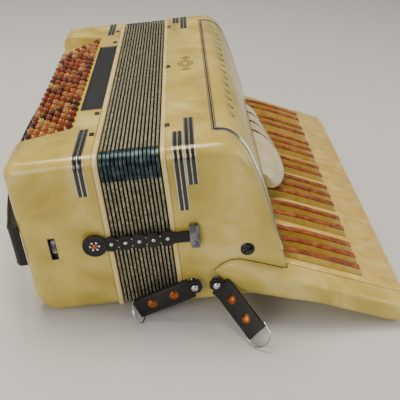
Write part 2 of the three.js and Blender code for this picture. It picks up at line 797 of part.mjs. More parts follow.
// Sharps sit over the gaps after these white keys, counted from the low end: F G A B C D E.
const SHARP_AFTER = [0, 1, 2, 4, 5];
const SHARP_SHIFT = { 0: -2.4, 1: 0, 2: 2.4, 4: -2, 5: 2 };
const sharps = [];
for (let i = 0; i < WHITE_KEYS - 1; i++) {
  const note = i % 7;
  if (SHARP_AFTER.includes(note)) {
    sharps.push({ after: i, y: KEY_START + (i + 1) * KEY_PITCH + SHARP_SHIFT[note] });
  }
}
const half = SHARP_WIDTH / 2;
let number = 0;
for (let i = 0; i < WHITE_KEYS; i++) {
  const y0 = KEY_START + i * KEY_PITCH + KEY_GAP / 2;
  const y1 = y0 + KEY_PITCH - KEY_GAP;
  const before = sharps.find((s) => s.after === i - 1);
  const after = sharps.find((s) => s.after === i);
  const t0 = before ? before.y + half + KEY_GAP : y0;
  const t1 = after ? after.y - half - KEY_GAP : y1;
  const notch = SHARP_LENGTH + 0.8;
  const plan = [
    [-KEY_TAIL, t0],
    [notch, t0],
    [notch, y0],
    [KEY_LENGTH, y0],
    [KEY_LENGTH, y1],
    [notch, y1],
    [notch, t1],
    [-KEY_TAIL, t1],
  ].filter((p, k, all) => k === 0 || p[0] !== all[k - 1][0] || p[1] !== all[k - 1][1]);
  const flat = plan.filter((p, k, all) => {
    const a = all[(k + all.length - 1) % all.length];
    const b = all[(k + 1) % all.length];
    return Math.abs((p[0] - a[0]) * (b[1] - p[1]) - (p[1] - a[1]) * (b[0] - p[0])) > 1e-6;
  });
  number += 1;
  const label = String(number).padStart(2, "0");
  add(keys, "key_" + label + "_white", alongZ(flat, -KEY_THICK, 0), IVORY());
  if (after) {
    number += 1;
    const section = [
      [after.y - half, -KEY_THICK],
      [after.y + half, -KEY_THICK],
      [after.y + half, 0],
      [after.y + half - 1.2, SHARP_HEIGHT],
      [after.y - half + 1.2, SHARP_HEIGHT],
      [after.y - half, 0],
    ];
    const slope = alongY(
      [
        [-KEY_TAIL - 1, -KEY_THICK - 1],
        [SHARP_LENGTH, -KEY_THICK - 1],
        [SHARP_LENGTH, 0],
        [SHARP_LENGTH - 4, SHARP_HEIGHT + 1],
        [-KEY_TAIL - 1, SHARP_HEIGHT + 1],
      ],
      after.y - 20,
      after.y + 20,
    );
    add(
      keys,
      "key_" + String(number).padStart(2, "0") + "_sharp",
      alongX(section, -KEY_TAIL, SHARP_LENGTH + 1).intersect(slope),
      AMBER(),
    );
  }
}

// ---- register unit: a moulded housing against the cover, with three levers ----
const REGISTER_LOW = SHARP_HEIGHT + 2.7; // clear of the sharps
const REGISTER_DEPTH = 18.8;
function intoKeyFrame(p) {
  const c = Math.cos(rad(KEY_SLOPE));
  const n = Math.sin(rad(KEY_SLOPE));
  const x = p[0] - KEY_ORIGIN[0];
  const z = p[1] - KEY_ORIGIN[1];
  return [x * c - z * n, x * n + z * c];
}
const wallLow = intoKeyFrame(coverCurve[coverCurve.length - 1]);
const wallHigh = intoKeyFrame(coverCurve[coverCurve.length - 2]);
const wallLean = (wallHigh[0] - wallLow[0]) / (wallHigh[1] - wallLow[1]);
const wallS = (h) => wallLow[0] + (h - wallLow[1]) * wallLean + 2 * GAP;
function registerSection(y, out) {
  const low = REGISTER_LOW;
  const high = REGISTER_LOW + REGISTER_DEPTH;
  const ringPoints = [
    [wallS(low), low],
    [out, low],
    [out, low + 3.3],
    [out * 0.5 - 5, high - 5],
    [wallS(high), high],
  ];
  return ringPoints.map((p) => [p[0], y, p[1]]);
}
const REGISTER_WIDE = 28;
const REGISTER_TIP = 2;
const REGISTER_TAPER = 24; // narrower at the far end by this much
const REGISTER_RUN = 165; // from the widest section to the far end
const REGISTER_Y = [150, 180, 215, 250, 281]; // sections from the near end
const outAt = (y) => {
  const rise = (y - REGISTER_Y[0]) / (REGISTER_Y[2] - REGISTER_Y[0]);
  if (rise < 1) return REGISTER_TIP + rise * (REGISTER_WIDE - REGISTER_TIP);
  return REGISTER_WIDE - REGISTER_TAPER * ((y - REGISTER_Y[2]) / REGISTER_RUN) ** 2;
};
const housing = REGISTER_Y.map((y) => registerSection(y, outAt(y)));
add(keys, "register_housing", loft(housing, false), IVORY());
const LEVER_PITCH = 33;
for (let i = 0; i < 3; i++) {
  const y0 = REGISTER_Y[4] + 1.5 + i * LEVER_PITCH;
  const y1 = y0 + LEVER_PITCH - 1.5;
  add(
    keys,
    "register_lever_" + (i + 1),
    loft([registerSection(y0, outAt(y0)), registerSection(y1, outAt(y1))], false),
    IVORY(),
  );
}

// ---- rest pose ----
// The box rests on the rounded outer edge of the bass box and on the keyboard's outer edge.
let tilt = 0;
const lowest = (outline) => {
  const height = (p) => p[0] * Math.sin(tilt) + p[1] * Math.cos(tilt);
  return outline.reduce((a, b) => (height(b) < height(a) ? b : a));
};
for (let i = 0; i < 5; i++) {
  const a = lowest(bassOutline);
  const b = lowest(cheekOutline);
  tilt = Math.atan2(a[1] - b[1], b[0] - a[0]);
}
body.rotation.y = -tilt;

const accordion = new THREE.Group();
accordion.add(body);
accordion.updateMatrixWorld(true);
const reachBox = new THREE.Box3().setFromObject(accordion, true);
const centre = reachBox.getCenter(new THREE.Vector3());
body.position.set(-centre.x, -centre.y, -reachBox.min.z);
accordion.updateMatrixWorld(true);

export default accordion;
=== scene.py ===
# %% [markdown]
# A piano accordion, closed, lying on its back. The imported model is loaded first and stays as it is.
# Every piece below is modelled in the instrument's own directions, in millimetres: X runs along the
# bellows from the bass box to the keyboard, Y from the low notes to the high notes, Z to the front.
# The instrument lies tipped, so the last thing done to each piece is to tip it into its place.

# %% Load the frame
import json
import math
import random

import bmesh
import bpy
from mathutils import Matrix, Vector


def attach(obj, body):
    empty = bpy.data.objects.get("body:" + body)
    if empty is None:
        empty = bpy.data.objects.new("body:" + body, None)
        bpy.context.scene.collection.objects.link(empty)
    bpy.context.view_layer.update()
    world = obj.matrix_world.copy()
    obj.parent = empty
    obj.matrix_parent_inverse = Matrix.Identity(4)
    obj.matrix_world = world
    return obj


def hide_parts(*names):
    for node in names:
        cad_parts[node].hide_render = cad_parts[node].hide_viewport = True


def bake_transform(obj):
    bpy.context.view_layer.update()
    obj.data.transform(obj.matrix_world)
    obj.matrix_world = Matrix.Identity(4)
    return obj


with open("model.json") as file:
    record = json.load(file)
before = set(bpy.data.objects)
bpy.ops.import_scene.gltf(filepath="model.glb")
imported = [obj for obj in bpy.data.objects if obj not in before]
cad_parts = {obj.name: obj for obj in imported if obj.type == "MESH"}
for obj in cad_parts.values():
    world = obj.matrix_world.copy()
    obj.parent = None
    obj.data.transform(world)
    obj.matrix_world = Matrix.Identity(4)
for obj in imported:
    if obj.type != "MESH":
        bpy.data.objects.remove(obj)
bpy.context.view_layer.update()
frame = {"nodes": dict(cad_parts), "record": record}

# %% [markdown]
# The record gives one point and the direction of the treble box's back panel. Both are known in the
# instrument's own directions too, so together they say how the instrument is tipped and where it is.

# %% Where the instrument lies
back = next(m for m in frame["record"]["mounts"] if m["name"] == "back_panel")
sine, cosine = back["axis"][0], -back["axis"][2]
along = Vector((cosine, 0, sine))
out = Vector((-sine, 0, cosine))
start = Vector(back["pos_m"]) - 0.106 * along - 0.248 * Vector((0, 1, 0))
LIE = Matrix(((along.x, 0, out.x, start.x), (0, 1, 0, start.y), (along.z, 0, out.z, start.z), (0, 0, 0, 1)))
print("tipped by", round(math.degrees(math.asin(sine)), 2), "degrees")

# %% Sizes of the instrument, in millimetres
LENGTH = 496
DEPTH = 186
BASS = 97
BELLOWS = 62
FRONT_END = 14
COVER_START = 118
KEY_X, KEY_Z = 179.4, 34.6
SLOPE = math.radians(23.6)
KEY_LENGTH = 148.7
SHARP_LENGTH = 97
SHARP_HEIGHT = 9.5
BOARD_X, BOARD_Z, BOARD_SLOPE = -33, 181, math.radians(14)


# %% [markdown]
# Edit mode works on what is selected, so each step starts by deselecting everything. These helpers do
# what a modeller does over and over: open a piece, pick faces or edges by their place, draw an outline
# corner by corner, and pull it into a solid.

# %% Helpers for edit mode
def v(x, y, z):
    return Vector((x, y, z)) * 0.001


def clear():
    if bpy.context.object and bpy.context.object.mode != "OBJECT":
        bpy.ops.object.mode_set(mode="OBJECT")
    bpy.ops.object.select_all(action="DESELECT")


def work_on(piece):
    clear()
    piece.select_set(True)
    bpy.context.view_layer.objects.active = piece


def edit(piece):
    work_on(piece)
    bpy.ops.object.mode_set(mode="EDIT")


def done():
    bpy.ops.object.mode_set(mode="OBJECT")


def pick(piece, kind, test):
    """Selects the faces, edges or verts that pass the test, while the piece is in edit mode."""
    bpy.ops.mesh.select_mode(type={"faces": "FACE", "edges": "EDGE", "verts": "VERT"}[kind])
    bpy.ops.mesh.select_all(action="DESELECT")
    mesh = bmesh.from_edit_mesh(piece.data)
    count = 0
    for item in getattr(mesh, kind):
        if test(item):
            item.select_set(True)
            count += 1
    mesh.select_flush_mode()
    bmesh.update_edit_mesh(piece.data)
    return count


def middle(edge):
    return (edge.verts[0].co + edge.verts[1].co) * 500


def run_of(edge):
    return (edge.verts[1].co - edge.verts[0].co).normalized()


def lean(edge):
    return math.degrees(edge.calc_face_angle(0)) if len(edge.link_faces) == 2 else 180


# %% Draw outlines and pull them into solids
def draw(name, points, fill=True):
    clear()
    bpy.ops.mesh.primitive_plane_add(size=0.001, location=points[0])
    piece = bpy.context.object
    piece.name = name
    bpy.ops.object.mode_set(mode="EDIT")
    bpy.ops.mesh.select_mode(type="VERT")
    bpy.ops.mesh.merge(type="CENTER")
    for a, b in zip(points, points[1:]):
        bpy.ops.mesh.extrude_vertices_move(TRANSFORM_OT_translate={"value": b - a})
    bpy.ops.mesh.select_all(action="SELECT")
    if fill:
        bpy.ops.mesh.edge_face_add()
    done()
    bpy.ops.object.transform_apply(location=True, rotation=True, scale=True)
    return piece


def pull(piece, move):
    edit(piece)
    bpy.ops.mesh.select_all(action="SELECT")
    bpy.ops.mesh.extrude_region_move(TRANSFORM_OT_translate={"value": move})
    bpy.ops.mesh.select_all(action="SELECT")
    bpy.ops.mesh.normals_make_consistent(inside=False)
    done()
    return piece


def along_y(name, outline, y0, y1):
    return pull(draw(name, [v(x, y0, z) for x, z in outline]), v(0, y1 - y0, 0))


def along_x(name, outline, x0, x1):
    return pull(draw(name, [v(x0, y, z) for y, z in outline]), v(x1 - x0, 0, 0))


def along_z(name, outline, z0, z1):
    return pull(draw(name, [v(x, y, z0) for x, y in outline]), v(0, 0, z1 - z0))


def block(name, low, high):
    clear()
    low, high = v(*low), v(*high)
    bpy.ops.mesh.primitive_cube_add(size=1, location=(low + high) / 2, scale=high - low)
    piece = bpy.context.object
    piece.name = name
    bpy.ops.object.transform_apply(location=True, rotation=True, scale=True)
    return piece


def arc(cx, cy, radius, a0, a1, steps):
    turns = [math.radians(a0 + (a1 - a0) * i / steps) for i in range(steps + 1)]
    return [(cx + radius * math.cos(a), cy + radius * math.sin(a)) for a in turns]


def smooth_line(points, steps):
    """More points on a smooth curve through these."""
    made = []
    for i in range(len(points) - 1):
        p = [points[max(i - 1, 0)], points[i], points[i + 1], points[min(i + 2, len(points) - 1)]]
        for k in range(steps):
            t = k / steps
            made.append(tuple(
                0.5 * (2 * b + (c - a) * t + (2 * a - 5 * b + 4 * c - d) * t**2 + (3 * b - a - 3 * c + d) * t**3)
                for a, b, c, d in zip(*p)
            ))
    return made + [tuple(points[-1])]


def band(path, low, high):
    """An outline on both sides of a line, from low to high across it."""
    sides = [[], []]
    for i, p in enumerate(path):
        a, b = path[max(i - 1, 0)], path[min(i + 1, len(path) - 1)]
        dx, dy = b[0] - a[0], b[1] - a[1]
        d = math.hypot(dx, dy)
        for side, far in zip(sides, (low, high)):
            side.append((p[0] - dy / d * far, p[1] + dx / d * far))
    return sides[0] + sides[1][::-1]


# %% Bevels, booleans, copies and the last step of every piece
def round_edges(piece, width, segments, test):
    edit(piece)
    count = pick(piece, "edges", test)
    if count:
        bpy.ops.mesh.bevel(offset=width / 1000, segments=segments, affect="EDGES", clamp_overlap=True)
    done()
    return count


def soften(piece, width, segments=2, angle=35):
    work_on(piece)
    mod = piece.modifiers.new("soften", "BEVEL")
    mod.width, mod.segments, mod.limit_method = width / 1000, segments, "ANGLE"
    mod.angle_limit = math.radians(angle)
    bpy.ops.object.modifier_apply(modifier=mod.name)


def cut(piece, cutter, operation="DIFFERENCE"):
    work_on(piece)
    mod = piece.modifiers.new("cut", "BOOLEAN")
    mod.object, mod.operation, mod.solver = cutter, operation, "EXACT"
    bpy.ops.object.modifier_apply(modifier=mod.name)
    bpy.data.objects.remove(cutter)


def slice_off(piece, point, normal):
    """Cuts away what lies past a plane, and closes the cut."""
    edit(piece)
    bpy.ops.mesh.select_all(action="SELECT")
    bpy.ops.mesh.bisect(plane_co=v(*point), plane_no=normal, clear_outer=True, use_fill=True)
    done()


def copy_of(piece, name):
    work_on(piece)
    bpy.ops.object.duplicate()
    made = bpy.context.object
    made.name = name
    return made


def flipped(piece, name):
    """The same piece for the far end."""
    made = copy_of(piece, name)
    edit(made)
    bpy.ops.mesh.select_all(action="SELECT")
    bpy.ops.transform.resize(value=(1, -1, 1), center_override=v(0, LENGTH / 2, 0))
    bpy.ops.mesh.normals_make_consistent(inside=False)
    done()
    return made


def join(name, pieces):
    work_on(pieces[0])
    for p in pieces[1:]:
        p.select_set(True)
    bpy.ops.object.join()
    pieces[0].name = name
    return pieces[0]


def from_node(node, name):
    """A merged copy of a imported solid, turned back into the instrument's own directions."""
    made = copy_of(frame["nodes"][node], name)
    made.parent = None
    for key in list(made.keys()):
        del made[key]
    made.data.materials.clear()
    made.data.transform(LIE.inverted())
    made.matrix_world = Matrix.Identity(4)
    edit(made)
    bpy.ops.mesh.select_all(action="SELECT")
    bpy.ops.mesh.remove_doubles(threshold=1e-5)
    bpy.ops.mesh.dissolve_limited(angle_limit=math.radians(0.5))
    bpy.ops.mesh.normals_make_consistent(inside=False)
    done()
    return made


def settle(piece, body, finish, nodes=(), angle=35):
    """Tips the piece into its place, gives it its finish, and lets it ride on its body."""
    work_on(piece)
    if finish:
        piece.data.materials.clear()
        for f in finish if isinstance(finish, list) else [finish]:
            piece.data.materials.append(f)
    bpy.ops.object.shade_smooth_by_angle(angle=math.radians(angle))
    piece.matrix_world = LIE @ piece.matrix_world
    bpy.ops.object.transform_apply(location=True, rotation=True, scale=True)
    if isinstance(body, str):
        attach(piece, body)
    if nodes:
        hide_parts(*nodes)
    piece.select_set(False)
    print(piece.name, len(piece.data.polygons), "faces")
    return piece


# %% [markdown]
# Each finish is a small set of nodes. One function turns a colour code into the values that Blender
# mixes with, and one adds a node and sets what it needs. Patterns read the place on the object in
# metres, so a scale of 50 makes marks about 20 mm apart.

# %% Node helpers
def linear(code):
    parts = [int(code[i:i + 2], 16) / 255 for i in (1, 3, 5)]
    return tuple(c / 12.92 if c <= 0.04045 else ((c + 0.055) / 1.055) ** 2.4 for c in parts) + (1,)


def add(tree, kind, links=(), **values):
    node = tree.nodes.new("ShaderNode" + kind)
    for key, value in values.items():
        if hasattr(node, key):
            setattr(node, key, value)
        else:
            node.inputs[key.replace("_", " ")].default_value = value
    for socket, source in links:
        tree.links.new(source, node.inputs[socket])
    return node


def shades(tree, source, stops):
    ramp = add(tree, "ValToRGB", [("Fac", source)])
    while len(ramp.color_ramp.elements) < len(stops):
        ramp.color_ramp.elements.new(0.5)
    for element, (at, code) in zip(ramp.color_ramp.elements, stops):
        element.position = at
        element.color = linear(code)
    return ramp.outputs["Color"]


def grey(tree, source, low, high):
    made = add(tree, "MapRange", [("Value", source)], To_Min=low, To_Max=high)
    return made.outputs["Result"]


def raised(tree, source, depth, strength=1.0, under=None):
    links = [("Height", source)] + ([("Normal", under)] if under else [])
    return add(tree, "Bump", links, Distance=depth / 1000, Strength=strength).outputs["Normal"]


def start_finish(name, roughness, metallic=0.0, **values):
    made = bpy.data.materials.new(name)
    made.use_nodes = True
    tree = made.node_tree
    shader = tree.nodes["Principled BSDF"]
    shader.inputs["Roughness"].default_value = roughness
    shader.inputs["Metallic"].default_value = metallic
    for key, value in values.items():
        shader.inputs[key.replace("_", " ")].default_value = value
    place = add(tree, "TexCoord").outputs["Object"]
    return made, tree, shader, place


def join_to(tree, shader, **sources):
    for key, source in sources.items():
        tree.links.new(source, shader.inputs[key.replace("_", " ")])


# %% [markdown]
# The boxes are covered in pearl celluloid: a glossy sheet with cloudy flakes from cream to old gold.
# Broad clouds come from one distorted noise, the flakes from smooth cells, and a clear coat on top
# keeps the gloss separate from the soft depth below it.

# %% Pearl celluloid
def pearl(name, stops, cloud, flake, roughness=0.3):
    made, tree, shader, place = start_finish(name, roughness, Coat_Weight=0.4, Coat_Roughness=0.16)
    clouds = add(tree, "TexNoise", [("Vector", place)], Scale=cloud, Detail=4.0, Roughness=0.5, Distortion=1.8)
    cells = add(tree, "TexVoronoi", [("Vector", place)], feature="SMOOTH_F1", Scale=flake, Smoothness=0.6)
    both = add(tree, "Mix", [("A", clouds.outputs["Fac"]), ("B", cells.outputs["Distance"])], Factor=0.22)
    colour = shades(tree, both.outputs["Result"], stops)
    fine = add(tree, "TexNoise", [("Vector", place)], Scale=900.0, Detail=2.0)
    join_to(tree, shader, Base_Color=colour, Roughness=grey(tree, cells.outputs["Distance"], 0.22, 0.42))
    join_to(tree, shader, Normal=raised(tree, fine.outputs["Fac"], 0.02, 0.15))
    return made


PEARL = pearl("pearl_celluloid", [(0.26, "#ab9236"), (0.42, "#c6ac48"), (0.54, "#d3bb5a"), (0.7, "#e4cf7a")], 11.0, 30.0)
PALE_PEARL = pearl("pale_pearl_edge", [(0.2, "#d8bb72"), (0.5, "#e6cd88"), (0.75, "#eed9a0")], 22.0, 60.0)
KEY_PEARL = pearl("key_pearl", [(0.2, "#c59c3e"), (0.42, "#d8b455"), (0.6, "#e2c268"), (0.75, "#ecd58a")], 24.0, 70.0)
SHARP_PEARL = pearl("sharp_side_pearl", [(0.2, "#b3953a"), (0.45, "#c9b053"), (0.7, "#d8c67c")], 30.0, 90.0)
AMBER = pearl("amber_pearl", [(0.2, "#461c04"), (0.4, "#7f3a08"), (0.55, "#9d500e"), (0.75, "#bb7428")], 60.0, 140.0)


# %% Ivory plastic of the register unit
def ivory():
    made, tree, shader, place = start_finish("ivory_plastic", 0.25, Coat_Weight=0.5, Coat_Roughness=0.05)
    clouds = add(tree, "TexNoise", [("Vector", place)], Scale=22.0, Detail=4.0, Distortion=0.8)
    fine = add(tree, "TexNoise", [("Vector", place)], Scale=700.0, Detail=2.0)
    colour = shades(tree, clouds.outputs["Fac"], [(0.3, "#d8c48e"), (0.5, "#e4d3a2"), (0.7, "#ecdfb8")])
    join_to(tree, shader, Base_Color=colour, Roughness=grey(tree, clouds.outputs["Fac"], 0.2, 0.34))
    join_to(tree, shader, Normal=raised(tree, fine.outputs["Fac"], 0.02, 0.12))
    return made


IVORY = ivory()


# %% [markdown]
# The bright trim is chrome over brass. Old plating is never a perfect mirror: a little haze and a few
# rubbed spots make it read as metal. The screws and clasps are duller steel, and the rivets copper.

# %% Metals
def metal(name, stops, low, high, scratch=1500.0):
    made, tree, shader, place = start_finish(name, 0.2, 1.0)
    haze = add(tree, "TexNoise", [("Vector", place)], Scale=120.0, Detail=5.0, Roughness=0.6)
    lines = add(tree, "TexNoise", [("Vector", place)], Scale=scratch, Detail=2.0)
    join_to(tree, shader, Base_Color=shades(tree, haze.outputs["Fac"], stops))
    join_to(tree, shader, Roughness=grey(tree, haze.outputs["Fac"], low, high))
    join_to(tree, shader, Normal=raised(tree, lines.outputs["Fac"], 0.02, 0.15))
    return made


CHROME = metal("chrome_trim", [(0.3, "#b9bcc0"), (0.6, "#e2e4e6")], 0.08, 0.24)
STEEL = metal("dull_steel", [(0.3, "#4b4d4f"), (0.6, "#8d8f92")], 0.25, 0.45)
COPPER = metal("copper_rivet", [(0.3, "#6b3018"), (0.5, "#a85a33"), (0.7, "#c98257")], 0.25, 0.5)
DARK_METAL = metal("dark_metal", [(0.3, "#26272a"), (0.6, "#4a4c50")], 0.25, 0.45)
GUARD = metal("teal_guard", [(0.3, "#20282a"), (0.5, "#3b494c"), (0.7, "#66757a")], 0.32, 0.5)


# %% Black lacquer and the dark grille cloth
def black_gloss():
    made, tree, shader, place = start_finish("black_lacquer", 0.18, Coat_Weight=0.6, Coat_Roughness=0.05)
    dust = add(tree, "TexNoise", [("Vector", place)], Scale=260.0, Detail=5.0)
    join_to(tree, shader, Base_Color=shades(tree, dust.outputs["Fac"], [(0.35, "#08080a"), (0.75, "#1d1e22")]))
    join_to(tree, shader, Roughness=grey(tree, dust.outputs["Fac"], 0.12, 0.32))
    return made


def grille_weave():
    made, tree, shader, place = start_finish("grille_weave", 0.5)
    wave_a = add(tree, "TexWave", [("Vector", place)], bands_direction="X", Scale=180.0, Distortion=0.1)
    wave_b = add(tree, "TexWave", [("Vector", place)], bands_direction="Y", Scale=180.0, Distortion=0.1)
    cross = add(tree, "Mix", [("A", wave_a.outputs["Fac"]), ("B", wave_b.outputs["Fac"])], Factor=0.5)
    join_to(tree, shader, Base_Color=shades(tree, cross.outputs["Result"], [(0.2, "#050506"), (0.9, "#232427")]))
    join_to(tree, shader, Normal=raised(tree, cross.outputs["Result"], 0.3, 0.8))
    return made


BLACK = black_gloss()
WEAVE = grille_weave()


# %% [markdown]
# Strap leather is dark, with a pebbled grain of about a millimetre, creases, and paler rubbed places.

# %% Leather
def leather(name, stops):
    made, tree, shader, place = start_finish(name, 0.5, Specular_IOR_Level=0.45)
    grain = add(tree, "TexVoronoi", [("Vector", place)], Scale=900.0, feature="F1")
    crease = add(tree, "TexNoise", [("Vector", place)], Scale=60.0, Detail=8.0, Roughness=0.7, Distortion=0.6)
    rubbed = add(tree, "TexNoise", [("Vector", place)], Scale=34.0, Detail=6.0)
    join_to(tree, shader, Base_Color=shades(tree, rubbed.outputs["Fac"], stops))
    join_to(tree, shader, Roughness=grey(tree, rubbed.outputs["Fac"], 0.36, 0.62))
    first = raised(tree, grain.outputs["Distance"], 0.35, 0.5)
    join_to(tree, shader, Normal=raised(tree, crease.outputs["Fac"], 0.5, 0.35, under=first))
    return made


LEATHER = leather("black_leather", [(0.3, "#070707"), (0.5, "#131110"), (0.75, "#2b2521")])
THREAD = leather("waxed_thread", [(0.3, "#241d15"), (0.6, "#4c4030")])


# %% [markdown]
# The bellows are covered in a metallic cloth. The fold tops catch the light and the folds' bottoms lie
# in shade, and that shade is painted into the colour: the mesh carries a value from 0 in a valley to 1 on
# a ridge, and the colour is darkened to nearly black where the value is low.

# %% Bellows cloth
def bellows_cloth():
    made, tree, shader, place = start_finish("bellows_cloth", 0.42, 0.45)
    depth = add(tree, "Attribute", attribute_name="ridge").outputs["Fac"]
    weave_a = add(tree, "TexWave", [("Vector", place)], bands_direction="Y", Scale=260.0, Distortion=1.5)
    weave_b = add(tree, "TexWave", [("Vector", place)], bands_direction="Z", Scale=260.0, Distortion=1.5)
    threads = add(tree, "Mix", [("A", weave_a.outputs["Fac"]), ("B", weave_b.outputs["Fac"])], Factor=0.5)
    worn = add(tree, "TexNoise", [("Vector", place)], Scale=330.0, Detail=4.0)
    silver = shades(tree, worn.outputs["Fac"], [(0.3, "#5d5b49"), (0.5, "#8c8870"), (0.7, "#bcb698")])
    # Painted shade: the cloth colour is darkened to nearly black in the fold valleys.
    dark = shades(tree, depth, [(0.35, "#0d0d0c"), (0.8, "#ffffff")])
    colour = add(tree, "Mix", [("A", silver), ("B", dark)], data_type="RGBA", blend_type="MULTIPLY")
    colour.inputs["Factor"].default_value = 1.0
    tree.links.new(silver, colour.inputs[6])
    tree.links.new(dark, colour.inputs[7])
    join_to(tree, shader, Base_Color=colour.outputs[2])
    join_to(tree, shader, Normal=raised(tree, threads.outputs["Result"], 0.25, 0.6))
    return made


CLOTH = bellows_cloth()


# %% [markdown]
# The bass buttons are cast in streaky brown, orange and ivory plastic, and no two are the same. Each
# button's points carry one value, so the streaks and the base colour change from button to button.

# %% Button plastic
def button_plastic():
    made, tree, shader, place = start_finish("button_plastic", 0.25, Coat_Weight=0.5, Coat_Roughness=0.06)
    tone = add(tree, "Attribute", attribute_name="tone").outputs["Fac"]
    streak = add(tree, "TexNoise", [("Vector", place)], Scale=190.0, Detail=3.0, Distortion=2.0)
    both = add(tree, "Mix", [("A", tone), ("B", streak.outputs["Fac"])], Factor=0.5)
    stops = [(0.2, "#2c0c04"), (0.38, "#661a07"), (0.52, "#8f330c"), (0.64, "#a5622a"), (0.8, "#c4a568")]
    join_to(tree, shader, Base_Color=shades(tree, both.outputs["Result"], stops))
    join_to(tree, shader, Roughness=grey(tree, streak.outputs["Fac"], 0.18, 0.35))
    return made


BUTTON = button_plastic()

# %% [markdown]
# The bass box is a block with one large round along its outer back edge, large rounds over its front
# corners, and a softer round where the outer side meets the rest. Bevelled in that order, the last
# round sweeps in one clean loop. The sloping board for the buttons is then cut in.

# %% Bass box
box = block("bass_box", (-BASS, 0, 0), (-6.2, LENGTH, DEPTH))
round_edges(box, 25, 10, lambda e: middle(e).x < -BASS + 1 and middle(e).z < 1)
round_edges(box, FRONT_END, 10, lambda e: abs(run_of(e).x) > 0.9 and middle(e).z > DEPTH - 1)
round_edges(box, 18, 10, lambda e: lean(e) > 30 and middle(e).x < -7 and lean(e) < 170)
fall = math.tan(BOARD_SLOPE)
cutter = along_y(
    "board_cutter",
    [(BOARD_X, BOARD_Z), (BOARD_X, 220), (-110, 220), (-110, BOARD_Z - fall * (110 + BOARD_X))],
    20,
    LENGTH - 20,
)
slot_y = math.atan2(30, 74)
slice_off(cutter, (BOARD_X, 81, 0), Vector((math.sin(slot_y), -math.cos(slot_y), 0)))
slice_off(cutter, (BOARD_X, LENGTH - 81, 0), Vector((math.sin(slot_y), math.cos(slot_y), 0)))
cut(box, cutter)
cut(box, block("grille_cutter", (-31, 128, DEPTH - 2), (-5, LENGTH - 128, DEPTH + 4)))
cut(box, block("wheel_cutter", (-67, -2, 72.5), (-59, 12, 99.5)))
for y0, y1 in ((-2, 16), (LENGTH - 16, LENGTH + 2)):
    cut(box, block("strap_cutter", (-BASS - 4, y0, 63), (-BASS + 3, y1, 119)))
soften(box, 1.2, 2, 40)
settle(box, "bass", PEARL, ["bass_case"])

# %% [markdown]
# A paler frame strip closes each box towards the bellows. Both strips are the same slice with rounded
# corners, so one outline makes them.

# %% Frame strips beside the bellows
SLICE = (
    arc(8, 8, 8, 180, 270, 4) + arc(LENGTH - 8, 8, 8, 270, 360, 4)
    + arc(LENGTH - FRONT_END, DEPTH - FRONT_END, FRONT_END, 0, 90, 12)
    + arc(FRONT_END, DEPTH - FRONT_END, FRONT_END, 90, 180, 12)
)
strip = along_x("bass_frame_strip", SLICE, -6, -0.4)
soften(strip, 1.4, 3, 40)
settle(strip, "bass", PALE_PEARL)
strip = along_x("treble_frame_strip", SLICE, BELLOWS + 0.4, BELLOWS + 6)
soften(strip, 1.4, 3, 40)
settle(strip, "treble", PALE_PEARL)

# %% [markdown]
# The black panel beside the board is a sheet of dark cloth in a thin inset frame of the same cloth.

# %% Bass grille
panel = block("bass_grille", (-30.6, 128.4, DEPTH - 1.9), (-6.6, LENGTH - 128.4, DEPTH - 0.7))
edit(panel)
pick(panel, "faces", lambda f: f.normal.z > 0.9)
bpy.ops.mesh.inset(thickness=0.0012, depth=0)
bpy.ops.mesh.inset(thickness=0.0008, depth=-0.0006)
done()
settle(panel, "bass", WEAVE)


# %% [markdown]
# One button is a short cylinder with a rounded rim and a slightly hollow top. Two arrays turn it into
# rows, and each row starts a little further along than the last. The buttons in a bank press together.

# %% Bass buttons
def on_board(t, y, height):
    """A point on the sloping board, t down the slope and height out of it."""
    x = BOARD_X - t * math.cos(BOARD_SLOPE) - height * math.sin(BOARD_SLOPE)
    z = BOARD_Z - t * math.sin(BOARD_SLOPE) + height * math.cos(BOARD_SLOPE)
    return v(x, y, z)


def button_bank(name, body, node, first_row, rows):
    clear()
    bpy.ops.mesh.primitive_cylinder_add(vertices=14, radius=0.004, depth=0.0105, location=(0, 0, 0.00125))
    bank = bpy.context.object
    bank.name = name
    bpy.ops.object.transform_apply(location=True, rotation=True, scale=True)
    edit(bank)
    pick(bank, "faces", lambda f: f.normal.z > 0.9)
    bpy.ops.mesh.inset(thickness=0.0018, depth=-0.0003)
    done()
    round_edges(bank, 0.9, 2, lambda e: abs(run_of(e).z) < 0.1 and 3.9 < math.hypot(*middle(e).xy) + 0.1 and middle(e).z > 6)
    per = len(bank.data.vertices)
    for count, offset in ((20, (0, 0.0162, 0)), (rows, (-0.0102, -0.002, 0))):
        mod = bank.modifiers.new("row", "ARRAY")
        mod.count, mod.use_relative_offset, mod.use_constant_offset = count, False, True
        mod.constant_offset_displace = offset
        bpy.ops.object.modifier_apply(modifier=mod.name)
    dice = random.Random(first_row + 4)
    tones = [dice.random() for _ in range(20 * rows)]
    values = bank.data.attributes.new("tone", "FLOAT", "POINT")
    values.data.foreach_set("value", [tones[i // per] for i in range(len(bank.data.vertices))])
    y = LENGTH / 2 - 19 * 8.1 + (2.5 - first_row) * 2
    lie = Matrix.Translation(on_board(7.2 + first_row * 10.2, y, 0)) @ Matrix.Rotation(-BOARD_SLOPE, 4, "Y")
    bank.matrix_world = lie
    bpy.ops.object.transform_apply(location=True, rotation=True, scale=True)
    settle(bank, body, BUTTON, [node], 50)


button_bank("note_buttons", "bass_notes", "bass_note_buttons", 0, 2)
button_bank("chord_button_bank", "chords", "chord_buttons", 2, 4)

# %% [markdown]
# The bellows are drawn as one ring of cloth and then pulled along, half a fold at a time: out to a
# ridge, in to a valley. Metal guards wrap the front corners of every fold, so their faces are copied
# from the cloth and given a thickness of their own.

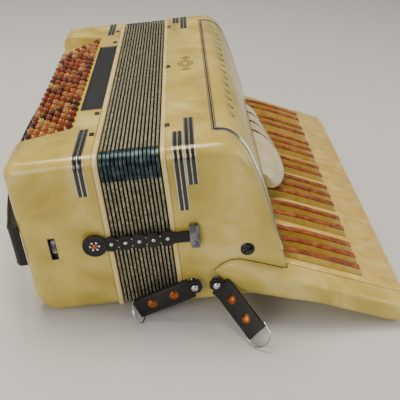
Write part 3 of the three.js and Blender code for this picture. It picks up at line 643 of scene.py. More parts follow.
# %% Bellows
FOLDS = 15
GUARD_LOW, GUARD_IN = 158, 19
RING = (
    arc(8, 8, 6, 180, 270, 3) + arc(LENGTH - 8, 8, 6, 270, 360, 3)
    + [(LENGTH - 1.6, GUARD_LOW)]
    + arc(LENGTH - FRONT_END, DEPTH - FRONT_END, FRONT_END - 1.6, 0, 90, 10)
    + [(LENGTH - GUARD_IN, DEPTH - 1.6), (GUARD_IN, DEPTH - 1.6)]
    + arc(FRONT_END, DEPTH - FRONT_END, FRONT_END - 1.6, 90, 180, 10)
    + [(1.6, GUARD_LOW)]
)
RING = [p for i, p in enumerate(RING) if math.dist(p, RING[i - 1]) > 0.01]
bellows = draw("bellows_folds", [v(0.5, y, z) for y, z in RING + RING[:1]], fill=False)
edit(bellows)
bpy.ops.mesh.select_all(action="SELECT")
bpy.ops.mesh.remove_doubles(threshold=1e-6)
CENTRE = v(0, LENGTH / 2, DEPTH / 2)


def inset_ring(amount):
    return (1, (LENGTH - 2 * amount) / LENGTH, (DEPTH - 2 * amount) / DEPTH)


step = (BELLOWS - 1.0) / FOLDS / 2
valley = inset_ring(6)
bpy.ops.transform.resize(value=valley, center_override=CENTRE)
for fold in range(FOLDS):
    for grow in (tuple(1 / s for s in valley), valley):
        bpy.ops.mesh.extrude_region_move(TRANSFORM_OT_translate={"value": v(step * (0.14 if grow[1] > 1 else 0.52), 0, 0)})
        bpy.ops.mesh.extrude_region_move(TRANSFORM_OT_translate={"value": v(step * 0.34, 0, 0)})
        bpy.ops.transform.resize(value=grow, center_override=CENTRE)
        bpy.ops.mesh.extrude_region_move(TRANSFORM_OT_translate={"value": v(step * (0.52 if grow[1] > 1 else 0.14), 0, 0)})
bpy.ops.mesh.select_all(action="SELECT")
bpy.ops.mesh.normals_make_consistent(inside=False)
done()
# The ridge value is a painted shade mask: 1 on a fold's ridge, falling to 0 deeper in its valley.
values = bellows.data.attributes.new("ridge", "FLOAT", "POINT")


def fold_shade_value(co):
    y, z = co.y * 1000, co.z * 1000
    edge = min(y, LENGTH - y, DEPTH - z, z)
    if (y < FRONT_END or y > LENGTH - FRONT_END) and z > DEPTH - FRONT_END:
        side = FRONT_END if y < FRONT_END else LENGTH - FRONT_END
        edge = FRONT_END - math.hypot(y - side, z - DEPTH + FRONT_END)
    return max(0.0, min(1.0, 1 - (edge - 2) / 6))


values.data.foreach_set("value", [fold_shade_value(p.co) for p in bellows.data.vertices])

# %% Corner guards of the bellows
guards = copy_of(bellows, "bellows_guards")
edit(guards)


def on_corner(face):
    co = face.calc_center_median() * 1000
    return co.z > GUARD_LOW and (co.y < GUARD_IN or co.y > LENGTH - GUARD_IN)


pick(guards, "faces", lambda f: not on_corner(f))
bpy.ops.mesh.delete(type="FACE")
done()
mod = guards.modifiers.new("thick", "SOLIDIFY")
mod.thickness, mod.offset = 0.0005, 1
bpy.ops.object.modifier_apply(modifier=mod.name)
settle(bellows, None, CLOTH, ["bellows"], 60)
settle(guards, None, GUARD, (), 60)
for piece in (bellows, guards):
    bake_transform(piece)

# %% [markdown]
# The treble box is drawn in outline from its end: flat back, the notch over the keyboard, and the long
# curved shoulder up to the front. Its ends are rounded with a bevel that fades from 30 mm at the front
# to a few millimetres beside the keys, which edge weights allow. The room for the cover is cut last.

# %% Treble box
COVER_FOOT = (KEY_X + 0.6, KEY_Z + 12.4)
SHARES = [(0, 1), (0.202, 0.9856), (0.355, 0.9388), (0.5, 0.8561), (0.629, 0.7122), (0.758, 0.4964), (0.887, 0.2338), (1, 0)]
SHOULDER = smooth_line(
    [(COVER_START + a * (COVER_FOOT[0] - COVER_START), COVER_FOOT[1] + b * (DEPTH - COVER_FOOT[1])) for a, b in SHARES], 4
)


def on_keys(s, h):
    """X and Z of a point s along the keys and h above their tops."""
    return (
        KEY_X + s * math.cos(SLOPE) + h * math.sin(SLOPE),
        KEY_Z - s * math.sin(SLOPE) + h * math.cos(SLOPE),
    )


bed_x, bed_z = on_keys(0, -17.2)
bed_line = lambda x: bed_z - (x - bed_x) * math.tan(SLOPE)
outline = [(BELLOWS + 6.2, 0), (150, 0), (150, bed_line(150)), (182, bed_line(182)), (182.4, 34)]
treble = along_y("treble_box", outline + SHOULDER[::-1] + [(BELLOWS + 6.2, DEPTH)], 0, LENGTH)
edit(treble)
ends = lambda e: min(middle(e).y, LENGTH - middle(e).y) < 0.01 and middle(e).x > BELLOWS + 7
for low in [-10] + list(range(46, 186, 4)):
    high = 46 if low < 0 else low + 4
    pick(treble, "edges", lambda e: ends(e) and low < middle(e).z <= high)
    bpy.ops.transform.edge_bevelweight(value=0.3 + 0.7 * max(0, (high - 46) / 144) ** 2.2)
done()
mod = treble.modifiers.new("ends", "BEVEL")
mod.width, mod.segments, mod.limit_method = FRONT_END / 1000, 8, "WEIGHT"
mod.use_clamp_overlap = False
work_on(treble)
bpy.ops.object.modifier_apply(modifier=mod.name)


def cover_ends(z):
    return 7.7 + max(0, (z - 60) / 126) * 33.3


room = [(7.7, 101), (7.7 + 10.8, 101), (41, DEPTH), (41, 206), (LENGTH - 41, 206), (LENGTH - 41, DEPTH), (LENGTH - 18.5, 101)]
cut(treble, along_x("cover_room", room[1:], COVER_START, 215))
lower = [(7.7, -60), (7.7, 60), (18.6, 101.5), (LENGTH - 18.6, 101.5), (LENGTH - 7.7, 60), (LENGTH - 7.7, -60)]
cut(treble, along_x("key_room", lower, 150.1, 215))
soften(treble, 0.8, 2, 50)
settle(treble, "treble", PEARL, ["treble_case"], 40)

# %% [markdown]
# The grille cover is a sheet bent to the shoulder's curve. It is drawn as a line, pulled along the box,
# cut to its slanted ends and thickened inwards. Slanted slots let the sound out over dark cloth, and a
# lining of dark cloth in each slot paints the shade on the slot's walls.

# %% Grille cover
def cover_sheet(name, inset, thick):
    line = [(COVER_START + 0.5, DEPTH)] + [p for p in SHOULDER[1:]]
    sheet = draw(name, [v(x, 2, z) for x, z in line], fill=False)
    edit(sheet)
    bpy.ops.mesh.select_all(action="SELECT")
    bpy.ops.mesh.extrude_region_move(TRANSFORM_OT_translate={"value": v(0, LENGTH - 4, 0)})
    for side in (1, -1):
        y0, y1 = (8, 41.3) if side > 0 else (LENGTH - 8, LENGTH - 41.3)
        tilt = Vector((0, -126 * side, 33.3)).normalized()
        bpy.ops.mesh.select_all(action="SELECT")
        bpy.ops.mesh.bisect(plane_co=v(0, y0 + inset * side, 60), plane_no=tilt, clear_outer=True)
        bpy.ops.mesh.select_all(action="SELECT")
        bpy.ops.mesh.bisect(plane_co=v(0, y0 + inset * side, 60), plane_no=(0, -side, 0), clear_outer=True)
    bpy.ops.mesh.select_all(action="SELECT")
    bpy.ops.mesh.normals_make_consistent(inside=False)
    done()
    upright = sum(f.normal.z * f.area for f in sheet.data.polygons) > 0
    mod = sheet.modifiers.new("thick", "SOLIDIFY")
    mod.thickness, mod.offset = thick / 1000, -1 if upright else 1
    work_on(sheet)
    bpy.ops.object.modifier_apply(modifier=mod.name)
    return sheet


cover = cover_sheet("grille_cover_shell", 0, 3)
cutters, shade_linings = [], []
for i in range(14):
    y = 94 + i * (LENGTH - 188) / 13
    place = Matrix.Translation(v(140, y, 176.9)) @ Matrix.Rotation(math.radians(40), 4, "Y") @ Matrix.Rotation(math.radians(-12), 4, "Z")
    # Each slot gets a recessed lining of dark cloth as painted shade on its walls.
    for pieces, low, high in ((cutters, (-4, -1.1, -9), (4, 1.1, 9)), (shade_linings, (-4, -1, -4), (4, 1, 0.5))):
        slot = block("slot", low, high)
        slot.matrix_world = place
        pieces.append(slot)
cut(cover, join("slot_cutters", cutters))
settle(join("slot_linings", shade_linings), "treble", WEAVE)
soften(cover, 0.5, 2, 50)
settle(cover, "treble", PEARL, ["grille_cover"], 40)
cloth = cover_sheet("grille_cloth", 3, 0.4)
edit(cloth)
bpy.ops.mesh.select_all(action="SELECT")
bpy.ops.transform.resize(value=(0.93, 1, 0.965), center_override=v(COVER_START, 248, 60))
done()
settle(cloth, "treble", WEAVE)

# %% [markdown]
# The bright line round the cover is a strip of black between two thin chrome beads. The line runs down
# the front and turns at both ends to follow the cover's slanted end down to the keys. Each bead is a
# chain of points turned into a round wire.

# %% Trim round the grille cover
def wire(name, points, radius, closed=False, sides=3):
    line = draw(name, points, fill=False)
    if closed:
        edit(line)
        pick(line, "verts", lambda p: p.index in (0, len(points) - 1))
        bpy.ops.mesh.edge_face_add()
        done()
    work_on(line)
    bpy.ops.object.convert(target="CURVE")
    line = bpy.context.object
    line.data.bevel_depth = radius / 1000
    line.data.bevel_resolution = sides
    line.data.use_fill_caps = True
    bpy.ops.object.convert(target="MESH")
    return bpy.context.object


def cover_line(x_shift, y_shift, lift):
    end = [(x, cover_ends(z) + y_shift, z + lift) for x, z in SHOULDER[2:-1]]
    near = [(COVER_START + x_shift, 41 + y_shift, DEPTH + lift)] + [(x + lift, y, z) for x, y, z in end]
    far = [(x, LENGTH - y, z) for x, y, z in near]
    return [v(*p) for p in near[::-1] + far]


beads = [
    wire("cover_bead_outer", cover_line(-2.2, -2.2, 0.2), 0.9),
    wire("cover_bead_inner", cover_line(2.2, 2.2, 0.2), 0.9),
]
settle(join("cover_beads", beads), "treble", CHROME)
settle(wire("cover_dark_line", cover_line(0, 0, -0.3), 1.5), "treble", BLACK)


# %% [markdown]
# The dark ornaments lie over the front corners. Each is a pair of rounded bars that follow the corner,
# drawn from the side and pulled to their width, with three fine chrome lines beside them.

# %% Corner ornaments
def corner_path(front_y, low_z):
    return [(front_y, DEPTH)] + arc(FRONT_END, DEPTH - FRONT_END, FRONT_END, 90, 180, 10) + [(0, low_z)]


def ornament(name, x0, x1, front_y, low_z, body):
    half = (x1 - x0) / 2
    bars = []
    for x in (x0, x0 + half):
        bar = along_x(name + "_bar", band(corner_path(front_y, low_z), -0.4, 2.4), x + 0.15, x + half - 0.15)
        soften(bar, 1.5, 4)
        bars.append(bar)
    lines = []
    for x in (x0, x0 + half, x1):
        points = [v(x, y, z) for y, z in corner_path(front_y - 1.5, low_z + 1.5)]
        line = wire(name + "_line", points, 0.42)
        lines.append(line)
    bars, lines = join(name + "_bars", bars), join(name + "_lines", lines)
    for end in ("near", "far"):
        for piece, finish, slot in ((bars, BLACK, "leather"), (lines, CHROME, "chrome")):
            made = copy_of(piece, piece.name + "_near") if end == "near" else flipped(piece, piece.name + "_far")
            settle(made, body, finish)
    bpy.data.objects.remove(bars)
    bpy.data.objects.remove(lines)


ornament("bass_ornament", -25, -15, 75, 144.5, "bass")
ornament("treble_ornament_a", 75, 85, 46, 117, "treble")
ornament("treble_ornament_b", 87, 97, 78.5, 146, "treble")

# %% [markdown]
# Small pins hold the bellows frames to the boxes. Each has a square dark head with a rounded rim.

# %% Bellows pins
def pin_head(x, y):
    head = block("pin_head", (x - 2.6, y - 2.6, DEPTH - 0.5), (x + 2.6, y + 2.6, DEPTH + 1.6))
    edit(head)
    pick(head, "faces", lambda f: f.normal.z > 0.9)
    bpy.ops.mesh.inset(thickness=0.0007, depth=0.0004)
    done()
    soften(head, 0.4, 2)
    return head


pin_y = [58, 114]
bass_pins = [pin_head(-10, y) for y in pin_y] + [pin_head(-10, LENGTH - y) for y in pin_y]
settle(join("bass_pins", bass_pins), "bass", DARK_METAL)
treble_pins = [pin_head(69.5, y) for y in (62, LENGTH / 2, LENGTH - 62)]
settle(join("treble_pins", treble_pins), "treble", DARK_METAL)


# %% [markdown]
# A slotted screw is a low dome: a cylinder with a wide bevel on its rim, and a groove cut across.

# %% Screws, clasps and strap studs
def screw(name, x, y, z, radius, high, out_y=-1):
    clear()
    bpy.ops.mesh.primitive_cylinder_add(vertices=28, radius=radius / 1000, depth=high / 1000, location=(0, 0, high / 2000))
    head = bpy.context.object
    head.name = name
    bpy.ops.object.transform_apply(location=True, rotation=True, scale=True)
    round_edges(head, min(high * 0.7, radius * 0.4), 3, lambda e: middle(e).z > high - 0.01 and abs(run_of(e).z) < 0.1)
    groove = block("groove", (-radius, -radius * 0.14, high * 0.45), (radius, radius * 0.14, high + 2))
    cut(head, groove)
    turn = Matrix.Rotation(math.radians(90 * -out_y), 4, "X")
    head.matrix_world = Matrix.Translation(v(x, y, z)) @ turn @ Matrix.Rotation(0.6, 4, "Z")
    bpy.ops.object.transform_apply(location=True, rotation=True, scale=True)
    edit(head)
    bpy.ops.mesh.select_all(action="SELECT")
    bpy.ops.mesh.normals_make_consistent(inside=False)
    done()
    return head


settle(screw("end_board_screw", 141, 0, 62, 7.6, 2.2), "treble", DARK_METAL)
settle(screw("end_board_screw_far", 141, LENGTH, 62, 7.6, 2.2, 1), "treble", DARK_METAL)

clasp = block("clasp_plate", (82, -6.6, 74), (92, 0, 102))
round_edges(clasp, 2.5, 4, lambda e: abs(run_of(e).y) > 0.9)
soften(clasp, 0.8, 2)
parts = [clasp] + [screw("clasp_screw", 87, -6.4, z, 2.9, 1.0) for z in (79.5, 96.5)]
clasp = join("clasp_near", parts)
settle(flipped(clasp, "clasp_far"), "treble", STEEL)
settle(clasp, "treble", STEEL)


def ball_stud(name, x):
    clear()
    bpy.ops.mesh.primitive_uv_sphere_add(segments=20, ring_count=12, radius=0.0043, location=v(x, -12.4, 26))
    ball = bpy.context.object
    ball.name = name
    bpy.ops.object.transform_apply(location=True, rotation=True, scale=True)
    edit(ball)
    bpy.ops.mesh.select_all(action="SELECT")
    bpy.ops.transform.resize(value=(1, 0.5, 1), center_override=v(x, -12.4, 26))
    pick(ball, "faces", lambda f: f.calc_center_median().y > -0.0118)
    bpy.ops.mesh.delete(type="FACE")
    pick(ball, "edges", lambda e: len(e.link_faces) == 1)
    bpy.ops.transform.resize(value=(0.62, 1, 0.62), center_override=v(x, -12.4, 26))
    bpy.ops.mesh.extrude_region_move(TRANSFORM_OT_translate={"value": v(0, 11, 0)})
    bpy.ops.mesh.extrude_region_move(TRANSFORM_OT_translate={"value": v(0, 0.4, 0)})
    bpy.ops.transform.resize(value=(2.0, 1, 2.0), center_override=v(x, 0, 26))
    bpy.ops.mesh.extrude_region_move(TRANSFORM_OT_translate={"value": v(0, 1.0, 0)})
    bpy.ops.mesh.edge_face_add()
    bpy.ops.mesh.select_all(action="SELECT")
    bpy.ops.mesh.normals_make_consistent(inside=False)
    done()
    return ball


studs = join("tab_studs", [ball_stud("tab_stud", x) for x in (80.5, 104.5)])
settle(studs, "treble", CHROME)

# %% [markdown]
# The closing straps are narrow leather with scalloped edges, a chrome stud in the middle of every
# scallop, and a round leather end that snaps over a stud on the bass box.

# %% Closing straps
def dome(name, x, y, z, radius, high, rings=6, out_y=-1):
    clear()
    bpy.ops.mesh.primitive_uv_sphere_add(segments=18, ring_count=rings * 2, radius=radius / 1000)
    cap = bpy.context.object
    cap.name = name
    edit(cap)
    bpy.ops.mesh.select_all(action="SELECT")
    bpy.ops.mesh.bisect(plane_co=(0, 0, 0), plane_no=(0, 0, -1), clear_outer=True, use_fill=True)
    bpy.ops.mesh.select_all(action="SELECT")
    bpy.ops.transform.resize(value=(1, 1, high / radius), center_override=(0, 0, 0))
    done()
    cap.matrix_world = Matrix.Translation(v(x, y, z)) @ Matrix.Rotation(math.radians(90 * -out_y), 4, "X")
    bpy.ops.object.transform_apply(location=True, rotation=True, scale=True)
    return cap


def scallops(x0, x1, count, half, deep):
    top = []
    for i in range(count * 6 + 1):
        t = i / 6
        top.append((x0 + (x1 - x0) * t / count, half - deep + deep * abs(math.sin(math.pi * t))))
    return top


edge = scallops(-8, 66, 5, 9.2, 3.0)
shape = [(-12, 7)] + edge + [(70, 6.5), (81.4, 6.5)]
shape = shape + [(x, -z) for x, z in shape[::-1]]
strap = along_y("closing_strap", [(x, z + 88) for x, z in shape], -5.0, -2.5)
soften(strap, 0.6, 2)
clear()
bpy.ops.mesh.primitive_cylinder_add(vertices=40, radius=0.013, depth=0.0034, location=v(-18, -4.2, 88), rotation=(math.pi / 2, 0, 0))
disc = bpy.context.object
bpy.ops.object.transform_apply(location=True, rotation=True, scale=True)
edit(disc)
pick(disc, "faces", lambda f: f.normal.y < -0.9)
bpy.ops.mesh.inset(thickness=0.0022, depth=0)
bpy.ops.mesh.inset(thickness=0.0008, depth=-0.0006)
bpy.ops.mesh.inset(thickness=0.0012, depth=0.0004)
done()
soften(disc, 0.5, 2)
strap = join("closing_strap_leather", [strap, disc])
dots = [dome("strap_dot", x, -4.9, 88, 2.3, 1.5) for x in (-0.6, 14.2, 29, 43.8, 58.6)]
dots += [dome("strap_dot", x, -4.9, 88 + z, 0.7, 0.4) for x in (6.8, 21.6, 36.4, 51.2) for z in (-4.2, 4.2)]
dots = join("closing_strap_dots", dots)
petals = [dome("strap_petal", -18 + 4.6 * math.cos(a), -5.6, 88 + 4.6 * math.sin(a), 1.5, 0.9) for a in [i * math.pi / 3 for i in range(6)]]
petals = join("closing_strap_star", petals)
centre = dome("closing_strap_centre", -18, -5.6, 88, 3.0, 1.7)
for piece, finish, slot, nodes in (
    (strap, LEATHER, "leather", True), (dots, CHROME, "chrome", False),
    (petals, CHROME, "chrome", False), (centre, COPPER, "chrome", False),
):
    far = flipped(piece, piece.name + "_far")
    settle(far, "strap_far", finish, ["closing_strap_far"] if nodes else ())
    piece.name += "_near"
    settle(piece, "strap_near", finish, ["closing_strap_near"] if nodes else ())

# %% [markdown]
# The two strap tabs hang on the ball studs. A tab is a leather strip, doubled over a ring and riveted.
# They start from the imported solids, so their bends stay where they belong; rounding the edges, a row
# of stitches down each side and two copper rivets turn them into straps.

# %% Strap tabs and rings
TABS = {"left": (80.5, math.radians(161), 0.0, math.radians(80)), "right": (104.5, math.radians(45), math.radians(44), 0.0)}


def tab_point(side, d, t, across):
    """d along the leather from its bend, t in from its outer face, and across it."""
    x0, turn, bend, fold = TABS[side]
    x = 11 + d * math.cos(bend) - t * math.sin(bend)
    y = -9.3 - d * math.sin(bend) - t * math.cos(bend)
    return v(x0 + x * math.cos(turn) + across * math.sin(turn), y, 26 - x * math.sin(turn) + across * math.cos(turn))


def tab_turn(side):
    x0, turn, bend, fold = TABS[side]
    return Matrix.Rotation(turn, 4, "Y") @ Matrix.Rotation(-bend, 4, "Z")


for side in TABS:
    tab = from_node("strap_tab_" + side, "tab_leather_" + side)
    round_edges(tab, 0.9, 3, lambda e: 60 < lean(e) < 120 and e.calc_length() > 0.003)
    body = "tab_" + side
    settle(tab, body, LEATHER, ["strap_tab_" + side], 50)
    rivets, stitches = [], []
    for d in (14, 40):
        cap = dome("rivet", 0, 0, 0, 5.2, 2.0)
        rim = dome("rivet_rim", 0, 0, 0, 5.6, 0.7)
        rivet = join("rivet", [cap, rim])
        spot = tab_point(side, d, 1.9, 0)
        rivet.matrix_world = Matrix.Translation(spot) @ tab_turn(side)
        work_on(rivet)
        bpy.ops.object.transform_apply(location=True, rotation=True, scale=True)
        rivets.append(rivet)
    settle(join("tab_rivets_" + side, rivets), body, COPPER)
    for across in (-10.2, 10.2):
        for k in range(11):
            stitch = block("stitch", (-1.4, -0.35, -0.35), (1.4, 0.25, 0.35))
            soften(stitch, 0.2, 1)
            stitch.matrix_world = Matrix.Translation(tab_point(side, 4 + k * 4.4, 2.0, across)) @ tab_turn(side)
            work_on(stitch)
            bpy.ops.object.transform_apply(location=True, rotation=True, scale=True)
            stitches.append(stitch)
    settle(join("tab_stitches_" + side, stitches), body, THREAD)
    x0, turn, bend, fold = TABS[side]
    leg = tab_point(side, 59 - 3.35, 0, 0)
    bow = [(0, -13.6)] + arc(5, 0, 13.6, -68, 68, 16) + [(0, 13.6)]
    frame_turn = Matrix.Translation(leg) @ Matrix.Rotation(turn, 4, "Y") @ Matrix.Rotation(-bend - fold, 4, "Z")
    ring = wire("d_ring_wire_" + side, [frame_turn @ v(x, 0, z) for x, z in bow], 1.0, True, 4)
    settle(ring, "ring_" + side, CHROME, ["d_ring_" + side], 60)

# %% [markdown]
# The hand strap is one long padded band of leather, held in a notch at each end of the bass box. It is
# drawn from above as a line, pulled up to its width, thickened and rounded, and its middle is made to
# swell a little, as padding does. Stitches run along both edges.

# %% Hand strap
HALF = [(2, 5.5), (-4, 4.6), (-8.5, 8), (-11, 20), (-20, 62), (-30, 120), (-36, 180)]
half_path = [(x - BASS, y) for x, y in HALF]
strap_path = smooth_line(half_path + [(-38 - BASS, LENGTH / 2)] + [(x, LENGTH - y) for x, y in half_path[::-1]], 4)
rows = (66.6, 69, 74, 83, 91, 99, 108, 113, 115.4)
strap = draw("hand_strap_leather", [v(x, y, rows[0]) for x, y in strap_path], fill=False)
edit(strap)
bpy.ops.mesh.select_all(action="SELECT")
for low, high in zip(rows, rows[1:]):
    bpy.ops.mesh.extrude_region_move(TRANSFORM_OT_translate={"value": v(0, 0, high - low)})
bpy.ops.mesh.select_all(action="SELECT")
bpy.ops.mesh.normals_make_consistent(inside=False)
done()
mod = strap.modifiers.new("thick", "SOLIDIFY")
mod.thickness, mod.offset = 0.0026, 0
bpy.ops.object.modifier_apply(modifier=mod.name)
edit(strap)
pick(strap, "faces", lambda f: abs(f.normal.z) < 0.3 and 78 < f.calc_center_median().z * 1000 < 104 and 30 < f.calc_center_median().y * 1000 < LENGTH - 30)
bpy.ops.transform.shrink_fatten(value=0.0009)
done()
soften(strap, 0.5, 2, 50)
mod = strap.modifiers.new("even", "SUBSURF")
mod.levels = mod.render_levels = 1
bpy.ops.object.modifier_apply(modifier=mod.name)
settle(strap, "bass", LEATHER, ["hand_strap"], 60)
stitches = []
for z in (69.2, 112.8):
    for a, b in zip(strap_path[8:-9], strap_path[9:-8]):
        for t in (0.2, 0.7):
            x, y = a[0] + (b[0] - a[0]) * t, a[1] + (b[1] - a[1]) * t
            yaw = math.atan2(b[1] - a[1], b[0] - a[0])
            stitch = block("stitch", (-1.8, -1.75, -0.4), (1.8, 1.75, 0.4))
            soften(stitch, 0.25, 1)
            stitch.matrix_world = Matrix.Translation(v(x, y, z)) @ Matrix.Rotation(yaw, 4, "Z")
            work_on(stitch)
            bpy.ops.object.transform_apply(location=True, rotation=True, scale=True)
            stitches.append(stitch)
settle(join("hand_strap_stitches", stitches), "bass", THREAD)

# %% [markdown]
# The strap wheel tightens the hand strap. Only its milled rim shows, through a slot with a black edge.

# %% Strap wheel and its slot
TEETH = 60
wheel_edge = []
for k in range(TEETH * 4):
    turned, out = 2 * math.pi * k / (TEETH * 4), 13.0 if k % 4 < 2 else 12.4
    wheel_edge.append((14.5 + out * math.cos(turned), 86 + out * math.sin(turned)))
wheel = along_x("milled_wheel", wheel_edge, -65.5, -60.5)
edit(wheel)
pick(wheel, "faces", lambda f: abs(f.normal.x) > 0.9)
bpy.ops.mesh.inset(thickness=0.003, depth=-0.001)
done()
settle(wheel, "wheel", STEEL, ["strap_wheel"], 20)
rim = along_y("wheel_slot_edge", [(-67, 72.6), (-59, 72.6), (-59, 99.4), (-67, 99.4)], -0.25, 5)
cut(rim, block("slot_hole", (-66.2, -3, 73.6), (-59.8, 9, 98.4)))
soften(rim, 0.3, 2)
settle(rim, "bass", BLACK)

# %% [markdown]
# The white keys are cut to seven shapes, because each one makes room for its neighbours. Their solids
# are right already, so each is copied, its points merged, its front corners and top edges rounded, and
# then finished in key pearl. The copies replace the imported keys.

# %% White keys
def height_at(line, x):
    for (x0, z0), (x1, z1) in zip(line, line[1:]):
        if x0 <= x <= x1:
            return z0 + (z1 - z0) * (x - x0) / max(x1 - x0, 1e-9)
    return line[-1][1]


FALL = Vector((math.sin(SLOPE), 0, math.cos(SLOPE)))
RUN = Vector((math.cos(SLOPE), 0, -math.sin(SLOPE)))


def key_place(point):
    """How far along the keys a point is, and how high above their tops, in millimetres."""
    d = point * 1000 - Vector((KEY_X, 0, KEY_Z))
    return d.dot(RUN), d.dot(FALL)


names = sorted(n for n in frame["nodes"] if n.startswith("key_"))
for node in [n for n in names if n.endswith("white")]:
    key = from_node(node, node + "_pearl")
    upright = lambda e: abs(run_of(e).dot(FALL)) > 0.95 and key_place(e.verts[0].co)[0] > KEY_LENGTH - 1
    round_edges(key, 4.2, 5, upright)
    top = lambda e: min(key_place(p.co)[1] for p in e.verts) > -0.05 and key_place(middle(e) / 1000)[0] > -20 and lean(e) > 30
    round_edges(key, 1.3, 3, top)
    settle(key, node[:6], KEY_PEARL, [node], 50)

# %% [markdown]
# A sharp is a tall narrow key with pale sides, a sloping front, and an amber pearl cap glued on top.
# The cap is only another finish on the faces that look up, so the two meet in a clean line.

# %% Sharps
CAP = 2.4
HUMP = [(-30, 0.42), (0, 0.66), (14, 0.86), (26, 0.97), (38, 1.0), (60, 0.97), (SHARP_LENGTH + 2, 0.86)]
for node in [n for n in names if n.endswith("sharp")]:
    key = from_node(node, node + "_pearl")
    edit(key)
    for s in (6, 14, 20, 26, 32, 38, 50, 60, 72, 84):
        bpy.ops.mesh.select_all(action="SELECT")
        x, z = on_keys(s, 0)
        bpy.ops.mesh.bisect(plane_co=v(x, 0, z), plane_no=RUN)
    bpy.ops.mesh.select_all(action="SELECT")
    x, z = on_keys(0, SHARP_HEIGHT - CAP)
    bpy.ops.mesh.bisect(plane_co=v(x, 0, z), plane_no=FALL)
    done()
    top = lambda e: key_place(middle(e) / 1000)[1] > SHARP_HEIGHT - 1.5 and lean(e) > 15
    round_edges(key, 1.5, 3, top)
    for point in key.data.vertices:
        s, h = key_place(point.co)
        if h > 1:
            point.co -= FALL * (h - 1) * (1 - height_at(HUMP, s)) * 0.001
    for face in key.data.polygons:
        s, h = key_place(face.center)
        cap_low = (SHARP_HEIGHT - CAP - 1) * height_at(HUMP, s) + 1
        face.material_index = 1 if h > cap_low - 0.05 and s > -30 else 0
    marks = [f.material_index for f in key.data.polygons]
    settle(key, node[:6], [SHARP_PEARL, AMBER], [node], 50)
    key.data.polygons.foreach_set("material_index", marks)

# %% [markdown]
# The cheeks grow out of the box's ends as thin boat-shaped noses and become thick rounded blocks beside
# the keys. A loft suits them: a section is drawn at each place along the cheek, its outer corners
# rounded as far as its thickness allows, and neighbouring sections are bridged.

# %% Loft helper
def loft(name, loops):
    drawn = []
    for loop in loops:
        ring = draw(name, [v(*p) for p in loop], fill=False)
        edit(ring)
        pick(ring, "verts", lambda p: p.index in (0, len(loop) - 1))
        bpy.ops.mesh.edge_face_add()
        done()
        drawn.append(ring)
    made = join(name, drawn)
    edit(made)
    bpy.ops.mesh.select_mode(type="EDGE")
    bpy.ops.mesh.select_all(action="SELECT")
    bpy.ops.mesh.bridge_edge_loops()
    pick(made, "edges", lambda e: len(e.link_faces) == 1)
    bpy.ops.mesh.fill_holes(sides=0)
    bpy.ops.mesh.select_all(action="SELECT")
    bpy.ops.mesh.normals_make_consistent(inside=False)
    done()
    return made


# %% Cheeks and the key bed
EDGE = KEY_LENGTH + 3.3
corner = [on_keys(s, h) for s, h in arc(EDGE - 14, -14, 14, 0, -90, 8)]
TOP = [(105, 40), (112, 46), (122.5, 50.5), (133, 50), (176, 33.5), on_keys(5, -1), on_keys(EDGE - 4, -1), on_keys(EDGE - 1.2, -2.2), on_keys(EDGE, -5)]
LOW = [(105, 40), (109, 30), (120, 17), (140, 7.5), (149, 4), (190, -3.5), on_keys(51, -28)] + corner[::-1]


def cheek_loop(x):
    top, low = height_at(TOP, x), height_at(LOW, x)
    outer = -min(2 + max(0, x - 100) / 83.2 * 18, 20)
    inner = 7.5 if x > 183.3 else -0.3
    tall, thick = top - low, -outer if x <= 183.3 else 24
    r = max(0.3, min(12, tall * 0.45, thick * 0.85))
    r_up = max(0.3, min(9, r))
    points = [(inner, low)] + arc(outer + r, low + r, r, 270, 180, 6) + arc(outer + r_up, top - r_up, r_up, 180, 90, 6) + [(inner, top)]
    return [(x, y, z) for y, z in points]


end_x = min(corner[0][0], on_keys(EDGE, -5)[0])
stations = [105.6, 106.5, 108, 110, 113, 117, 122, 128, 134, 142, 152, 164, 176, 183.2, 183.5, 190, 203, 216, 240, 265, 290, 300]
stations += [end_x - d for d in (8, 5.5, 3.5, 2, 1, 0.4)]
cheek = loft("cheek_near", [cheek_loop(x) for x in stations])
far = flipped(cheek, "cheek_far")
bed_line_points = [(-24.1, -17.5)] + arc(EDGE - 14, -14, 14, -14.5, -90, 6) + [(-19.5, -28)]
bed = along_y("key_bed", [on_keys(s, h) for s, h in bed_line_points], 7.2, LENGTH - 7.2)
soften(bed, 0.8, 2)
settle(cheek, "treble", PEARL, ["keyboard_bed"], 40)
settle(far, "treble", PEARL, (), 40)
settle(bed, "treble", PEARL)
felt_points = [on_keys(s, h) for s, h in ((-19, -17.7), (EDGE - 10, -17.7), (EDGE - 10, -17.15), (-19, -17.15))]
settle(along_y("key_felt", felt_points, 8.2, LENGTH - 8.2), "treble", LEATHER)
# A thin black wire along the nose's outline is painted shade where the cheek meets the end board.
nose = [v(x, -0.25, z) for x, z in LOW[5::-1] + TOP[1:5] + [(182, 31.5)]]
seam_shade = wire("cheek_seam", nose, 0.55)
settle(flipped(seam_shade, "cheek_seam_far"), "treble", BLACK)
settle(seam_shade, "treble", BLACK)

# %% [markdown]
# The register unit is one smooth moulding over the key tails, narrow at the far end and broad at the
# near one, with three levers past it. The same section makes the housing and the levers, so the
# levers carry on the housing's shape and only thin black webs of painted shade part them.

# %% Register unit
UNIT_WIDTHS = [(150, -2), (153, 4), (160, 10), (172, 17), (190, 23), (208, 26.6), (225, 27.6), (250, 27), (281, 24.2)]
UNIT_WIDTHS += [(303, 21.2), (330, 16), (355, 10.8), (382, 4)]


def wall_s(h):
    return -3.7 - (h - 11.6) * 0.7185


